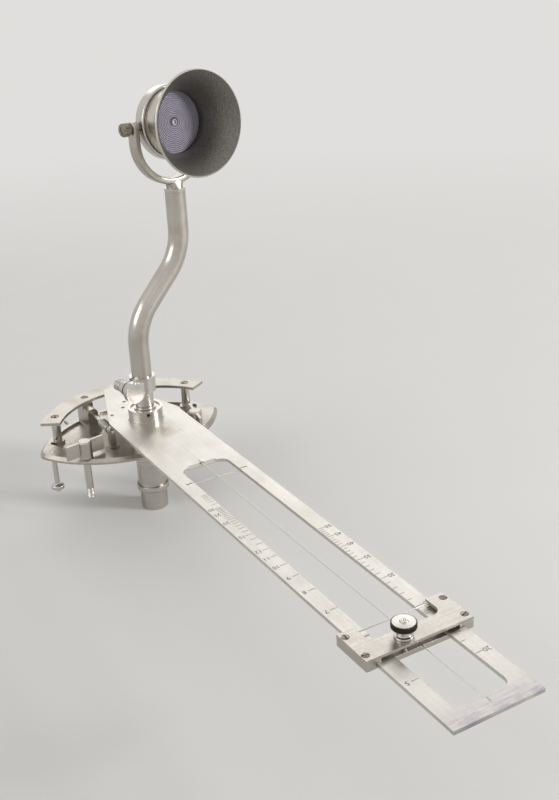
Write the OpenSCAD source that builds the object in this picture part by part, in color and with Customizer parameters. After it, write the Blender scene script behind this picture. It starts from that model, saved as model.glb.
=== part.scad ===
// Drift meter: a slotted sight plate that swings on a spindle over a lens-shaped base,
// with a peep eyepiece on a cranked stem and a slider that reads ground speed.
// Millimetres. The origin is the centre of the round foot, +Z is up the spindle,
// +X runs along the sight plate to its near end.

/* [Sight plate] */
// Width of the sight plate
plate_w = 48; // [46:1:54]
// Thickness of the sight plate
plate_t = 2; // [2:0.2:3]
// Distance from the spindle to the near end of the plate
plate_reach = 347.5; // [330:2.5:380]
// How far the index tip reaches in over the drift arc
tip_lap = 2; // [0.5:0.5:5]
// Width of the index tip
tip_w = 11.5; // [9:0.5:14]
// Distance behind the spindle at which the plate starts to taper
taper_start = 4.5; // [2:0.5:8]
// Width of the long slot
slot_w = 30; // [26:1:32]
// Distance from the spindle to the rear end of the slot
slot_rear = 81.5; // [78:0.5:90]
// Width of the cross bar that closes the slot at the near end
near_bar = 9.5; // [7:0.5:14]
// Radius of the slot's corners
slot_corner = 6; // [4:0.5:8]
// Thickness of the sight wires
wire_d = 0.7; // [0.5:0.1:0.8]
// Distance from the spindle to the fixed cross wire
cross_wire_x = 100; // [98:1:110]

/* [Base] */
// Radius of the rear edge of the base, about the spindle
rim_r = 71.5; // [69:0.5:75]
// Radius of the front edge of the base
front_r = 72; // [70:0.5:80]
// How far the front edge bulges past the spindle
front_bulge = 13.4; // [12:0.2:15]
// Radius of the two rounded ends of the base
lobe_r = 8.5; // [7:0.5:11]
// Thickness of the base
base_t = 3.4; // [3:0.2:5]
// Height of the slope round the top edge of the base
edge_fall = 2; // [0.6:0.2:2.4]
// Width of the slope round the top edge of the base
edge_run = 2; // [0.6:0.2:2.4]
// Width of the raised rim behind the pocket
rim_w = 5; // [4:0.5:8]
// Width of the raised limb in front of the pocket
limb_w = 14; // [12:0.5:16]
// Depth of the pocket between rim and limb
pocket_depth = 1.8; // [1:0.2:2.2]
// Height of the hub above the top of the base
hub_h = 16.6; // [15:0.2:20]
// Radius of the hub
hub_r = 11.5; // [10.5:0.5:13]

/* [Drum] */
// Height of the foot cup below its lip
cup_h = 14.4; // [13:0.2:18]
// Radius of the foot cup
cup_r = 8.9; // [8.7:0.1:9.6]
// Wall of the foot cup
cup_wall = 1.3; // [1:0.1:1.5]
// Height of the cup's flared lip
lip_h = 3; // [2.4:0.2:4]
// Radial thickness of the cup's flared lip
lip_wall = 1.2; // [1:0.1:1.6]
// Radius of the bearing drum
drum_r = 9.6; // [9.4:0.1:10.4]
// Visible height of the bearing drum
drum_h = 20.6; // [18:0.2:26]
// Radius of the drum's flange
flange_r = 13; // [12:0.5:15]
// Thickness of the drum's flange
flange_t = 4.2; // [3:0.2:5]
// Radius of the drum's sleeve inside the hub
sleeve_r = 8; // [7:0.1:8.4]
// Radius of the spindle
spindle_r = 5; // [4:0.1:5.4]

/* [Drift arc] */
// How far the drift arc stays inside the rear edge of the base
arc_inset = 1.5; // [0.5:0.25:3]
// Radial width of the drift arc
arc_w = 13; // [11:0.5:14]
// Thickness of the drift arc
arc_t = 1.9; // [1.5:0.1:3.2]
// Half of the angle that the arc covers
arc_half = 58.5; // [52:0.5:62]
// Angle from the centre of the arc to its outer screws
outer_screw_angle = 49; // [46:0.5:51]
// Angle from the centre of the arc to its inner screws
inner_screw_angle = 18; // [17:0.5:20]
// Radius of the arc's round posts
post_r = 2.9; // [2.6:0.1:3.4]

/* [Spring plunger] */
// Radius of the plunger rod
rod_r = 1.3; // [1:0.1:1.5]
// Distance of the rod to the left of the spindle
rod_y = 20.5; // [19:0.5:22]
// Height of the rod above the top of the base
rod_lift = 10.4; // [9.6:0.2:10.8]
// Distance from the spindle back to the guide post
guide_back = 12.4; // [12:0.2:16]
// Width of the guide post
guide_w = 4.4; // [4:0.2:5]
// Mean radius of the coil spring
spring_r = 2.7; // [2.5:0.1:3]
// Thickness of the spring wire
spring_wire = 0.9; // [0.7:0.1:1]
// Number of coils in the spring
spring_turns = 6; // [4:1:7]
// Length of the fitted spring
spring_len = 13; // [12.6:0.2:15]
// Travel of the plunger
plunger_travel = 3; // [1:0.5:3]

/* [Mounting] */
// Distance from the spindle back to the two studs
stud_back = 5.2; // [5:0.1:7]
// Distance from the spindle sideways to the stud on the plunger's side
left_stud = 42; // [40:0.5:44]
// Distance from the spindle sideways to the other stud
right_stud = 37.5; // [36:0.5:42]
// Radius of a stud
stud_r = 2.4; // [2:0.1:2.6]
// How much thinner a stud is from the base upwards
stud_step = 0.1; // [0.05:0.05:0.3]
// Length of a stud below the base
stud_drop = 25.2; // [22:0.2:30]
// Height of a wing nut
nut_h = 12; // [10:0.5:13]
// Radius of a wing nut's hub
nut_r = 4.5; // [3.8:0.1:4.8]
// Length of one wing
wing_len = 9; // [6:0.5:10]
// Height of a wing
wing_h = 9.5; // [7:0.1:9.6]
// Turn of the left wing nut
left_nut_turn = 99; // [0:1:180]
// Turn of the right wing nut
right_nut_turn = 170; // [0:1:180]
// Radius of the locating pin
pin_r = 1.65; // [1.4:0.05:2]
// Radius of the locating pin's head
pin_head_r = 4.3; // [3.6:0.1:5]
// Length of the locating pin below the base
pin_drop = 25.4; // [22:0.2:30]

/* [Stem] */
// Radius of the collar on the plate
collar_r = 11.2; // [10.8:0.1:12.5]
// Height of the collar
collar_h = 7.8; // [7:0.2:9]
// Wall of the collar
collar_wall = 1.6; // [1.3:0.1:2]
// Radius of the neck that turns in the collar
neck_r = 6; // [5.6:0.1:6.4]
// Height of the split clamp above the plate
clamp_top = 29.6; // [28:0.2:34]
// Height of the split clamp's own barrel
clamp_h = 10.2; // [9.4:0.2:12]
// Radius of the split clamp's barrel
clamp_r = 8.3; // [7.9:0.1:9]
// Radius of the round disc in front of the lug that takes the clamp screw
lug_r = 7.3; // [6.6:0.1:7.6]
// Thickness of that disc
lug_disc_t = 3.2; // [2.4:0.2:4]
// Radius of the lug just behind that disc, from where it tapers
lug_body_r = 6.2; // [5.8:0.1:6.4]
// Radius of the lug's rear end
lug_tail_r = 4.4; // [4.3:0.1:4.8]
// Distance from the stem's axis to the clamp screw
lug_offset = 10.2; // [10:0.1:11]
// Height of the clamp screw above the plate
lug_z = 22.6; // [21:0.2:23.2]
// Width of the saw cut through the clamp
saw_cut = 1.2; // [0.8:0.1:1.6]
// Radius of the stem tube
tube_r = 6.5; // [6:0.1:6.7]
// Bore radius of the stem tube
tube_bore = 5; // [4.4:0.1:5.2]
// Turn of the stem about the spindle
stem_turn = 10.5; // [-20:0.5:30]
// Height of the top of the stem tube above the plate
tube_top = 142; // [138:0.5:160]
// Sideways offset of the upper end of the stem
stem_offset = 38.2; // [36:0.2:44]
// Slope of the stem's middle stretch from the vertical
bend_angle = 45; // [40:1:48]
// Bend radius of the stem's centre line
bend_r = 37; // [34:0.5:40]
// Height above the plate at which the stem starts to bend
bend_start = 49.4; // [48:0.5:56]

/* [Eyepiece] */
// Height of the trunnion axis above the top of the stem tube
trunnion_rise = 42.2; // [41:0.2:46]
// Outer radius of the yoke
yoke_r = 28.3; // [28:0.1:30]
// Thickness of the yoke's strap
yoke_t = 4.5; // [3.6:0.1:5]
// Width of the yoke's strap
yoke_w = 8; // [7:0.2:10]
// Distance of the yoke's bend centre below the trunnion axis
yoke_drop = 9.2; // [8:0.2:11]
// Upward tilt of the eyepiece
eyepiece_tilt = 4; // [0:1:20]
// Radius of the rear ring
ring_r = 22.5; // [22.2:0.1:23]
// Length of the rear ring
ring_len = 8; // [7:0.2:9]
// Radius of the barrel
barrel_r = 20.8; // [20.4:0.1:21.4]
// Radius of the peep disc
disc_r = 18.6; // [18:0.1:19]
// Thickness of the peep disc
disc_t = 1.4; // [1:0.1:2]
// Radius of the peep hole
peep_r = 0.9; // [0.5:0.1:1.5]
// Outer radius of the bell's lip
bell_r = 31.6; // [31:0.2:35]
// Distance from the trunnion axis to the bell's lip
bell_reach = 31.4; // [29:0.2:36]
// Wall of the bell
bell_wall = 1.2; // [1:0.1:1.6]
// Radius of a trunnion screw's shank
trunnion_r = 2.2; // [1.8:0.1:2.6]
// Radius of a trunnion screw's head
trunnion_head_r = 4; // [3.4:0.1:4.4]

/* [Slider] */
// Length of the slider along the plate
slider_len = 23.5; // [22:0.5:28]
// Overall width of the slider
slider_w = 59; // [58:0.5:64]
// Distance from the spindle to the rear edge of the slider
slider_x = 271.5; // [200:0.5:290]
// Thickness of the slider's top
slider_t = 1.4; // [1.2:0.1:1.8]
// Height of the slider's top above the plate
slider_lift = 3; // [2.8:0.1:3.6]
// Depth of the recess in the slider's rear edge
recess_depth = 12.3; // [11:0.1:13]
// Width of the recess in the slider's rear edge
recess_w = 40; // [38:0.5:42]
// Radius of the recess corners
recess_corner = 4.5; // [3:0.5:6]
// Distance of the clamp knob to the left of the centre line
knob_offset = 5.5; // [5:0.1:6.5]
// Radius of the clamp knob's head
knob_r = 6; // [5.4:0.1:6.6]
// Height of the clamp knob's knurled band
knob_h = 3; // [2.4:0.1:4]

/* [Hidden] */
// Radial clearance of a part that turns in another
run_gap = 0.03;
// Gap between pieces that slide past each other
slide_gap = 0.3;
// Gap under a part that rests on another and turns there
rest_gap = 0.05;
// Smallest step used so that cuts pass right through
over = 1;
// Each screw of a set has its slot turned this much further than the one before
slot_turn = 37;
// Facets of a large round form, a small one, a set screw and a wire
round_fn = 96;
small_fn = 40;
screw_fn = 24;
wire_fn = 16;

lip_top = cup_h + lip_h;
base_z = lip_top + drum_h + flange_t;
base_top = base_z + base_t;
hub_top = base_top + hub_h;
washer_t = 0.8;
plate_z = hub_top + washer_t;
plate_top = plate_z + plate_t;
arc_z = plate_z - slide_gap - arc_t;
arc_r = rim_r - arc_inset;
arc_inner_r = arc_r - arc_w;
tip_reach = arc_inner_r + tip_lap;
screw_ring_r = arc_r - arc_w / 2;
front_x = front_bulge - front_r;
slot_front = plate_reach - near_bar;
rod_z = base_top + rod_lift;
drum_seat = 0.2;
drum_bottom = cup_h - drum_seat;
collar_floor = 2;
collar_bore = collar_r - collar_wall;
stem_lengthwise = (stem_offset - 2 * bend_r * (1 - cos(bend_angle))) / sin(bend_angle);
bend_end = bend_start + 2 * bend_r * sin(bend_angle) + stem_lengthwise * cos(bend_angle);
trunnion_z = plate_top + tube_top + trunnion_rise;
slider_top = plate_top + slider_lift;
slider_under = slider_top - slider_t;
slider_front = slider_x + slider_len;
knob_x = slider_x + (slider_len + recess_depth) / 2;

// A ring about Z from z0 to z1
module tube(r_out, r_in, z0, z1, fn = round_fn) {
    difference() {
        translate([0, 0, z0])
            cylinder(r = r_out, h = z1 - z0, $fn = fn);
        translate([0, 0, z0 - over])
            cylinder(r = r_in, h = z1 - z0 + 2 * over, $fn = fn);
    }
}

// A round bar about Z from z0 to z1
module bar(r, z0, z1, fn = small_fn) {
    translate([0, 0, z0])
        cylinder(r = r, h = z1 - z0, $fn = fn);
}

// A round bar about X from x0 to x1
module bar_x(r, x0, x1, fn = small_fn) {
    translate([x0, 0, 0])
        rotate([0, 90, 0])
            cylinder(r = r, h = x1 - x0, $fn = fn);
}

// A round taper about X from radius r0 at x0 to radius r1 at x1
module cone_x(r0, r1, x0, x1) {
    translate([x0, 0, 0])
        rotate([0, 90, 0])
            cylinder(r1 = r0, r2 = r1, h = x1 - x0, $fn = round_fn);
}

// A round bar about Y from y0 to y1
module bar_y(r, y0, y1, fn = small_fn) {
    translate([0, y0, 0])
        rotate([-90, 0, 0])
            cylinder(r = r, h = y1 - y0, $fn = fn);
}

// A block between two corners
module block(low, high) {
    translate(low)
        cube(high - low);
}

// A flat-headed screw, seated flush in its countersink, with its slot
module flush_screw(head_r, shank_r, head_t, length, turn) {
    difference() {
        union() {
            translate([0, 0, -head_t])
                cylinder(r1 = shank_r, r2 = head_r, h = head_t, $fn = small_fn);
            bar(shank_r, -length, -head_t);
        }
        rotate([0, 0, turn])
            block([-head_r - over, -head_r / 8, -head_t / 2], [head_r + over, head_r / 8, over]);
    }
}

// The countersunk hole that a flush screw sits in
module flush_hole(head_r, shank_r, head_t, depth) {
    translate([0, 0, -head_t - run_gap])
        cylinder(r1 = shank_r + run_gap, r2 = head_r + run_gap, h = head_t + run_gap, $fn = small_fn);
    bar(head_r + run_gap, -run_gap / 2, over);
    bar(shank_r + run_gap, -depth, -head_t);
}

// Arc screws: one over each support, measured from the centre of the arc
arc_head_r = 2.6;
arc_shank_r = 1.4;
arc_head_t = 1.3;
arc_screw_len = 8;
ARC_SCREWS = [-outer_screw_angle, -inner_screw_angle, inner_screw_angle, outer_screw_angle];
ROUND_POSTS = [-outer_screw_angle, inner_screw_angle, outer_screw_angle];

module on_arc(angle) {
    rotate([0, 0, 180 - angle])
        translate([screw_ring_r, 0, 0])
            children();
}

// Lens-shaped outline between two arcs, inset from the rear and the front edge
module lens(rear_inset, front_inset, z0, z1) {
    intersection() {
        bar(rim_r - rear_inset, z0, z1, round_fn);
        translate([front_x, 0, 0])
            bar(front_r - front_inset, z0, z1, round_fn);
    }
}

// A disc as thick as the base whose top edge slopes down to the outside
module eased_disc(r) {
    low = base_z - over;
    spread = edge_run * (base_top - low) / edge_fall;
    intersection() {
        bar(r, base_z, base_top, round_fn);
        translate([0, 0, low])
            cylinder(r1 = r - edge_run + spread, r2 = r - edge_run, h = base_top - low, $fn = round_fn);
    }
}

// Centre of the circle that rounds off one end of the lens, tangent to both arcs inside
lobe_far = rim_r - lobe_r;
lobe_near = front_r - lobe_r;
lobe_x = (lobe_far * lobe_far - lobe_near * lobe_near + front_x * front_x) / (2 * front_x);
lobe_y = sqrt(lobe_far * lobe_far - lobe_x * lobe_x);

// Keeps the lens between the points where the round ends start, and adds those ends,
// a hair smaller than the circles that would just touch both arcs
lobe_step = 0.04;

module base_outline() {
    rear_touch = [lobe_x, lobe_y] * rim_r / lobe_far;
    front_touch = [front_x, 0] + ([lobe_x, lobe_y] - [front_x, 0]) * front_r / lobe_near;
    far_x = 2 * rim_r;
    intersection() {
        eased_disc(rim_r);
        translate([front_x, 0, 0])
            eased_disc(front_r);
        translate([0, 0, base_z - over])
            linear_extrude(base_t + 2 * over)
                polygon([
                    [-far_x, rear_touch[1]], rear_touch, [lobe_x, lobe_y], front_touch,
                    [far_x, front_touch[1]], [far_x, -front_touch[1]],
                    [front_touch[0], -front_touch[1]], [lobe_x, -lobe_y],
                    [rear_touch[0], -rear_touch[1]], [-far_x, -rear_touch[1]]
                ]);
    }
    for (side = [-1, 1])
        translate([lobe_x, side * lobe_y, 0])
            eased_disc(lobe_r - lobe_step);
}

pad_r = 4.6;
pin_ahead = 2.9;
pin_out = 1.1;
pin_x = lobe_x + pin_ahead;
pin_y = -lobe_y - pin_out;
rim_pin_r = 1;
rim_pin_y = 32.4;
rim_pin_lift = 1.5;
rim_pin_reach = 6.5;
rim_pin_depth = 4.6;
rim_edge_x = sqrt(rim_r * rim_r - rim_pin_y * rim_pin_y);

STUDS_Y = [-left_stud, right_stud];
stud_top_r = stud_r - stud_step;

module base_casting() color("tan") {
    difference() {
        union() {
            difference() {
                base_outline();
                lens(rim_w, limb_w, base_top - pocket_depth, base_top + over);
            }
            bar(hub_r, base_z, hub_top, round_fn);
            intersection() {
                base_outline();
                union() {
                    for (angle = ROUND_POSTS)
                        on_arc(angle)
                            bar(pad_r, base_z, base_top);
                    block([plunger_back - over, -rod_y - lug_half - over, base_z],
                        [plunger_front + over, -rod_y + lug_half + over, base_top]);
                    translate([-guide_back, -rod_y, 0])
                        bar(pad_r, base_z, base_top);
                }
            }
        }
        bar(sleeve_r + run_gap, base_z - over, hub_top + over, round_fn);
        for (y = STUDS_Y)
            translate([-stud_back, y, 0])
                bar(stud_top_r + run_gap, base_z - over, base_top + over);
        translate([pin_x, pin_y, 0])
            bar(pin_r + run_gap, base_z - over, base_top + over);
        translate([0, -rim_pin_y, base_z + rim_pin_lift])
            bar_x(rim_pin_r + run_gap, -rim_r - over, rim_pin_depth - rim_edge_x);
    }
}

module bearing_drum() color("silver") {
    difference() {
        union() {
            bar(drum_r, drum_bottom, base_z - flange_t, round_fn);
            bar(flange_r, base_z - flange_t, base_z, round_fn);
            bar(sleeve_r, base_z, hub_top - slide_gap, round_fn);
        }
        bar(spindle_r + run_gap, drum_bottom - over, hub_top + over);
    }
}

// Foot: a cup with a flared lip that closes the drum and hides the spindle's end
cup_floor = 2;

module foot_cup() color("silver") {
    lip_r = drum_r + run_gap + lip_wall;
    flare = 1.6;
    cup_bore = cup_r - cup_wall;
    difference() {
        union() {
            bar(cup_r, 0, cup_h, round_fn);
            translate([0, 0, cup_h - flare])
                cylinder(r1 = cup_r, r2 = lip_r, h = flare, $fn = round_fn);
            bar(lip_r, cup_h, lip_top, round_fn);
        }
        bar(cup_bore, cup_floor, lip_top, round_fn);
        bar(drum_r + run_gap, drum_bottom, lip_top + over, round_fn);
    }
}

module drift_arc() color("silver") {
    difference() {
        translate([0, 0, arc_z])
            rotate([0, 0, 180 - arc_half])
                rotate_extrude(angle = 2 * arc_half, $fn = round_fn)
                    translate([arc_r - arc_w, 0])
                        square([arc_w, arc_t]);
        for (angle = ARC_SCREWS)
            on_arc(angle)
                translate([0, 0, arc_z + arc_t])
                    flush_hole(arc_head_r, arc_shank_r, arc_head_t, arc_t + over);
    }
}

module arc_posts() color("silver") {
    for (angle = ROUND_POSTS)
        on_arc(angle)
            difference() {
                bar(post_r, base_top, arc_z);
                bar(arc_shank_r + run_gap, arc_z + arc_t - arc_screw_len - run_gap, arc_z + over);
            }
}

module arc_screws() color("dimgray") {
    for (k = [0:len(ARC_SCREWS) - 1])
        on_arc(ARC_SCREWS[k])
            translate([0, 0, arc_z + arc_t])
                flush_screw(arc_head_r, arc_shank_r, arc_head_t, arc_screw_len, slot_turn * k);
}

// The block under the arc ends in front in an upright lug with a round top
lug_half = 3.7;
lug_reach = 13;
plunger_back = -screw_ring_r - 1;
plunger_front = lug_reach - arc_inner_r;
// The block stops short of the arc's inner edge, where only the lower lug goes on
step_x = -sqrt(arc_inner_r * arc_inner_r - rod_y * rod_y) + slide_gap;

module plunger_block() color("silver") {
    screw_x = -screw_ring_r * cos(inner_screw_angle);
    screw_y = -screw_ring_r * sin(inner_screw_angle);
    difference() {
        union() {
            block([plunger_back, -rod_y - lug_half, base_top], [step_x, -rod_y + lug_half, arc_z]);
            block([step_x, -rod_y - lug_half, base_top], [plunger_front, -rod_y + lug_half, rod_z]);
            translate([0, -rod_y, rod_z])
                bar_x(min(lug_half, arc_z - slide_gap - rod_z), step_x, plunger_front);
        }
        translate([0, -rod_y, rod_z])
            bar_x(rod_r + run_gap, rod_back - slide_gap, plunger_front + over);
        translate([screw_x, screw_y, 0])
            bar(arc_shank_r + run_gap, arc_z + arc_t - arc_screw_len - run_gap, arc_z + over);
    }
}

guide_t = 3.6;
guide_head_r = 2.8;

module guide_post() color("silver") {
    translate([-guide_back, -rod_y, 0])
        difference() {
            union() {
                block([-guide_t / 2, -guide_w / 2, base_top], [guide_t / 2, guide_w / 2, rod_z]);
                translate([0, 0, rod_z])
                    bar_x(guide_head_r, -guide_t / 2, guide_t / 2);
            }
            translate([0, 0, rod_z])
                bar_x(rod_r + run_gap, -guide_t, guide_t);
        }
}

rod_engaged = 14;
rod_back = plunger_front - rod_engaged;
nose = 2.2;
shoulder_t = 1;
spring_seat = 0.3;
spring_front = -guide_back - guide_t / 2 - spring_seat;
spring_back = spring_front - spring_len;

module spring_plunger() color("whitesmoke") {
    translate([0, -rod_y, rod_z]) {
        bar_x(rod_r, rod_back, -guide_back + guide_t / 2 + nose);
        bar_x(spring_r, spring_back - spring_seat - shoulder_t, spring_back - spring_seat);
    }
}

// Compression spring: one tube along a helix whose ends run straight for one tube diameter
curl_rings = 8;
tube_sides = 6;
helix_len = spring_len - spring_wire;
helix_pitch = helix_len / spring_turns;
ring_count = curl_rings * spring_turns;

function coil_point(i) = [
    spring_back + spring_wire / 2 + helix_len * i / ring_count,
    spring_r * cos(360 * i / curl_rings),
    spring_r * sin(360 * i / curl_rings)
];

// The two ends carry on along the tangent of the coil
function coil_path() = [
    coil_point(0) + [0, 0, -spring_wire],
    for (i = [0:ring_count]) coil_point(i),
    coil_point(ring_count) + [0, 0, spring_wire]
];

function unit(v) = v / norm(v);

// Six points round the tube at path point i, in the plane square to the path
function tube_ring(path, i) =
    let (
        last = len(path) - 1,
        along = unit(path[min(i + 1, last)] - path[max(i - 1, 0)]),
        side = unit(cross(along, [1, 0, 0])),
        up = cross(side, along)
    )
    [for (k = [0:tube_sides - 1])
        path[i] + (side * cos(360 * k / tube_sides) + up * sin(360 * k / tube_sides)) * spring_wire / 2];

module wire_tube(path) {
    rings = [for (i = [0:len(path) - 1]) each tube_ring(path, i)];
    last = (len(path) - 1) * tube_sides;
    walls = [for (i = [0:len(path) - 2], k = [0:tube_sides - 1])
        let (a = i * tube_sides + k, b = i * tube_sides + (k + 1) % tube_sides)
        each [[a, b, b + tube_sides], [a, b + tube_sides, a + tube_sides]]];
    start_cap = [for (k = [1:tube_sides - 2]) [0, k + 1, k]];
    end_cap = [for (k = [1:tube_sides - 2]) [last, last + k, last + k + 1]];
    polyhedron(points = rings, faces = concat(walls, start_cap, end_cap));
}

// Least gap between turns, measured on path points half a turn or more apart
coil = coil_path();
turn_gap = min([for (i = [0:len(coil) - 1], k = [i + curl_rings / 2:1:len(coil) - 1])
    norm(coil[i] - coil[k])]) - spring_wire;
echo(least_gap_of_the_spring_to_itself = turn_gap);

module plunger_spring() color("gray") {
    translate([0, -rod_y, rod_z])
        wire_tube(coil);
}

// A peg that stands out behind the rim
module rim_pin() color("whitesmoke") {
    translate([0, -rim_pin_y, base_z + rim_pin_lift])
        bar_x(rim_pin_r, -rim_edge_x - rim_pin_reach, rim_pin_depth - rim_edge_x - run_gap);
}

module locating_pin() color("silver") {
    head_t = 3.4;
    nub = 2;
    translate([pin_x, pin_y, 0]) {
        bar(pin_r, base_z - pin_drop, base_top);
        bar(pin_head_r, base_z - pin_drop + nub, base_z - pin_drop + nub + head_t);
    }
}

stud_top = 2;

module mounting_studs() color("silver") {
    thread_len = 7;
    groove = 0.25;
    pitch = 1;
    for (y = STUDS_Y)
        translate([-stud_back, y, 0])
            difference() {
                union() {
                    bar(stud_r, base_z - stud_drop, base_z - slide_gap);
                    bar(stud_top_r, base_z - stud_drop, base_top + nut_h - stud_top);
                }
                for (k = [1:thread_len])
                    tube(stud_r + over, stud_r - groove,
                        base_z - stud_drop + k * pitch, base_z - stud_drop + (k + 0.5) * pitch, small_fn);
            }
}

// Wing nut: a hub with a domed top and two flat slab wings
module wing_nut(turn) {
    wing_t = 1.8;
    dome = 0.8;
    lift = nut_h - wing_h - slide_gap;
    difference() {
        union() {
            bar(nut_r, slide_gap, nut_h - dome);
            translate([0, 0, nut_h - dome])
                cylinder(r1 = nut_r, r2 = nut_r - dome, h = dome, $fn = small_fn);
            rotate([0, 0, turn])
                block([-nut_r - wing_len, -wing_t / 2, lift], [nut_r + wing_len, wing_t / 2, lift + wing_h]);
        }
        bar(stud_top_r + run_gap, -over, nut_h - stud_top + slide_gap);
    }
}

module wing_nut_left() color("lightgray") {
    translate([-stud_back, -left_stud, base_top])
        wing_nut(left_nut_turn);
}

module wing_nut_right() color("lightgray") {
    translate([-stud_back, right_stud, base_top])
        wing_nut(right_nut_turn);
}

nut_z = 8.8;
washer_gap = 0.1;
spindle_nut_h = 3.6;
spindle_tail = 1.2;

module spindle() color("silver") {
    bar(spindle_r, nut_z - spindle_tail, plate_top + collar_floor);
}

module spindle_nut() color("silver") {
    difference() {
        translate([0, 0, nut_z])
            cylinder(r = cup_r - cup_wall - slide_gap, h = spindle_nut_h, $fn = 6);
        bar(spindle_r + run_gap, nut_z - over, nut_z + spindle_nut_h + over);
    }
}

module spindle_washer() color("silver") {
    tube(cup_r - cup_wall - slide_gap, spindle_r + run_gap,
        nut_z + spindle_nut_h, drum_bottom - washer_gap);
}

module friction_washer() color("goldenrod") {
    tube(hub_r, spindle_r + run_gap, hub_top, plate_z - rest_gap);
}

// Flat outline of the sight plate: long bar, tapered index tip, rounded slot
module plate_outline() {
    difference() {
        polygon([
            [-tip_reach, -tip_w / 2], [-taper_start, -plate_w / 2], [plate_reach, -plate_w / 2],
            [plate_reach, plate_w / 2], [-taper_start, plate_w / 2], [-tip_reach, tip_w / 2]
        ]);
        for (x = [slot_rear + slot_corner, slot_front - slot_corner], side = [-1, 1])
            translate([x, side * (slot_w / 2 - slot_corner)])
                circle(r = slot_corner, $fn = small_fn);
        translate([slot_rear + slot_corner, -slot_w / 2])
            square([slot_front - slot_rear - 2 * slot_corner, slot_w]);
        translate([slot_rear, -slot_w / 2 + slot_corner])
            square([slot_front - slot_rear, slot_w - 2 * slot_corner]);
    }
}

// The wires lie in grooves in the top of the plate
wire_z = plate_top - wire_d / 2;
wire_end = 6.5;
// The cross wire passes under the long wire, in grooves of its own one wire deeper
cross_z = wire_z - wire_d - 0.1;
cross_end = 20;
PLATE_SCREWS = [[-15.5, -17.5], [-23, -6.6], [-31.4, -2]];
plate_screw_r = 1.3;
plate_screw_shank = 0.7;
plate_screw_head = 0.8;

// Sloping rear edge of the slot, with a notch in the middle where the wire comes over it
bevel_len = 1.8;
bevel_drop = 1.4;
notch_w = 3;

module slot_bevel() {
    half = slot_w / 2 - slot_corner;
    translate([slot_rear, half, plate_top])
        rotate([90, 0, 0])
            linear_extrude(2 * half)
                polygon([
                    [-bevel_len, over], [-bevel_len, 0], [0, -bevel_drop], [over, -bevel_drop], [over, over]
                ]);
    translate([0, 0, plate_top - bevel_drop / 2])
        linear_extrude(plate_t)
            polygon([
                [slot_rear - 2 * bevel_len, 0], [slot_rear + over, -notch_w], [slot_rear + over, notch_w]
            ]);
}

module sight_plate() color("silver") {
    groove = wire_d + 2 * run_gap;
    wire_low = wire_z - wire_d / 2 - run_gap;
    difference() {
        translate([0, 0, plate_z])
            linear_extrude(plate_t)
                plate_outline();
        bar(spindle_r + run_gap, plate_z - over, plate_top + over);
        slot_bevel();
        block([slot_rear - wire_end, -groove / 2, wire_low],
            [slot_rear + over, groove / 2, plate_top + over]);
        block([slot_front - over, -groove / 2, wire_low],
            [slot_front + wire_end / 2, groove / 2, plate_top + over]);
        block([cross_wire_x - groove / 2, -cross_end, cross_z - wire_d / 2 - run_gap],
            [cross_wire_x + groove / 2, cross_end, plate_top + over]);
        for (p = PLATE_SCREWS)
            translate([p[0], p[1], plate_top])
                flush_hole(plate_screw_r, plate_screw_shank, plate_screw_head, plate_t + over);
    }
}

module plate_screws() color("dimgray") {
    for (k = [0:len(PLATE_SCREWS) - 1])
        translate([PLATE_SCREWS[k][0], PLATE_SCREWS[k][1], plate_top])
            flush_screw(plate_screw_r, plate_screw_shank, plate_screw_head, plate_t, slot_turn * k);
}

module sight_wire() color("whitesmoke") {
    translate([0, 0, wire_z])
        bar_x(wire_d / 2, slot_rear - wire_end + run_gap, slot_front + wire_end / 2 - run_gap, wire_fn);
}

module cross_wire() color("whitesmoke") {
    translate([cross_wire_x, 0, cross_z])
        bar_y(wire_d / 2, -cross_end + run_gap, cross_end - run_gap, wire_fn);
}

module stem_collar() color("silver") {
    skirt = 1.2;
    skirt_out = 0.5;
    difference() {
        union() {
            bar(collar_r, plate_top, plate_top + collar_h, round_fn);
            bar(collar_r + skirt_out, plate_top, plate_top + skirt, round_fn);
        }
        bar(collar_bore, plate_top + collar_floor, plate_top + collar_h + over, round_fn);
        bar(spindle_r + run_gap, plate_top - over, plate_top + collar_h);
        collar_hole()
            bar_x(set_screw_r + run_gap, 0, collar_r + over, screw_fn);
    }
}

set_screw_r = 1.1;
set_screw_turn = -14;
set_screw_z = 5.7;

module collar_hole() {
    translate([0, 0, plate_top + set_screw_z])
        rotate([0, 0, set_screw_turn])
            children();
}

module collar_set_screw() color("dimgray") {
    slot = 0.4;
    sunk = 0.4;
    collar_hole()
        difference() {
            bar_x(set_screw_r, foot_r + slide_gap, collar_r - sunk, screw_fn);
            block([collar_r - sunk - slot, -slot / 2, -set_screw_r - over],
                [collar_r, slot / 2, set_screw_r + over]);
        }
}

foot_r = collar_bore - run_gap;
foot_h = 4.8;
// How far the lug reaches in front of and behind the stem's axis
lug_front = 7.4;
lug_rear = 5.8;
// Metal left in front of the clamp screw's hole
lug_skin = 2;
thumb_r = 3.9;
screw_shank_r = 2;

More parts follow.
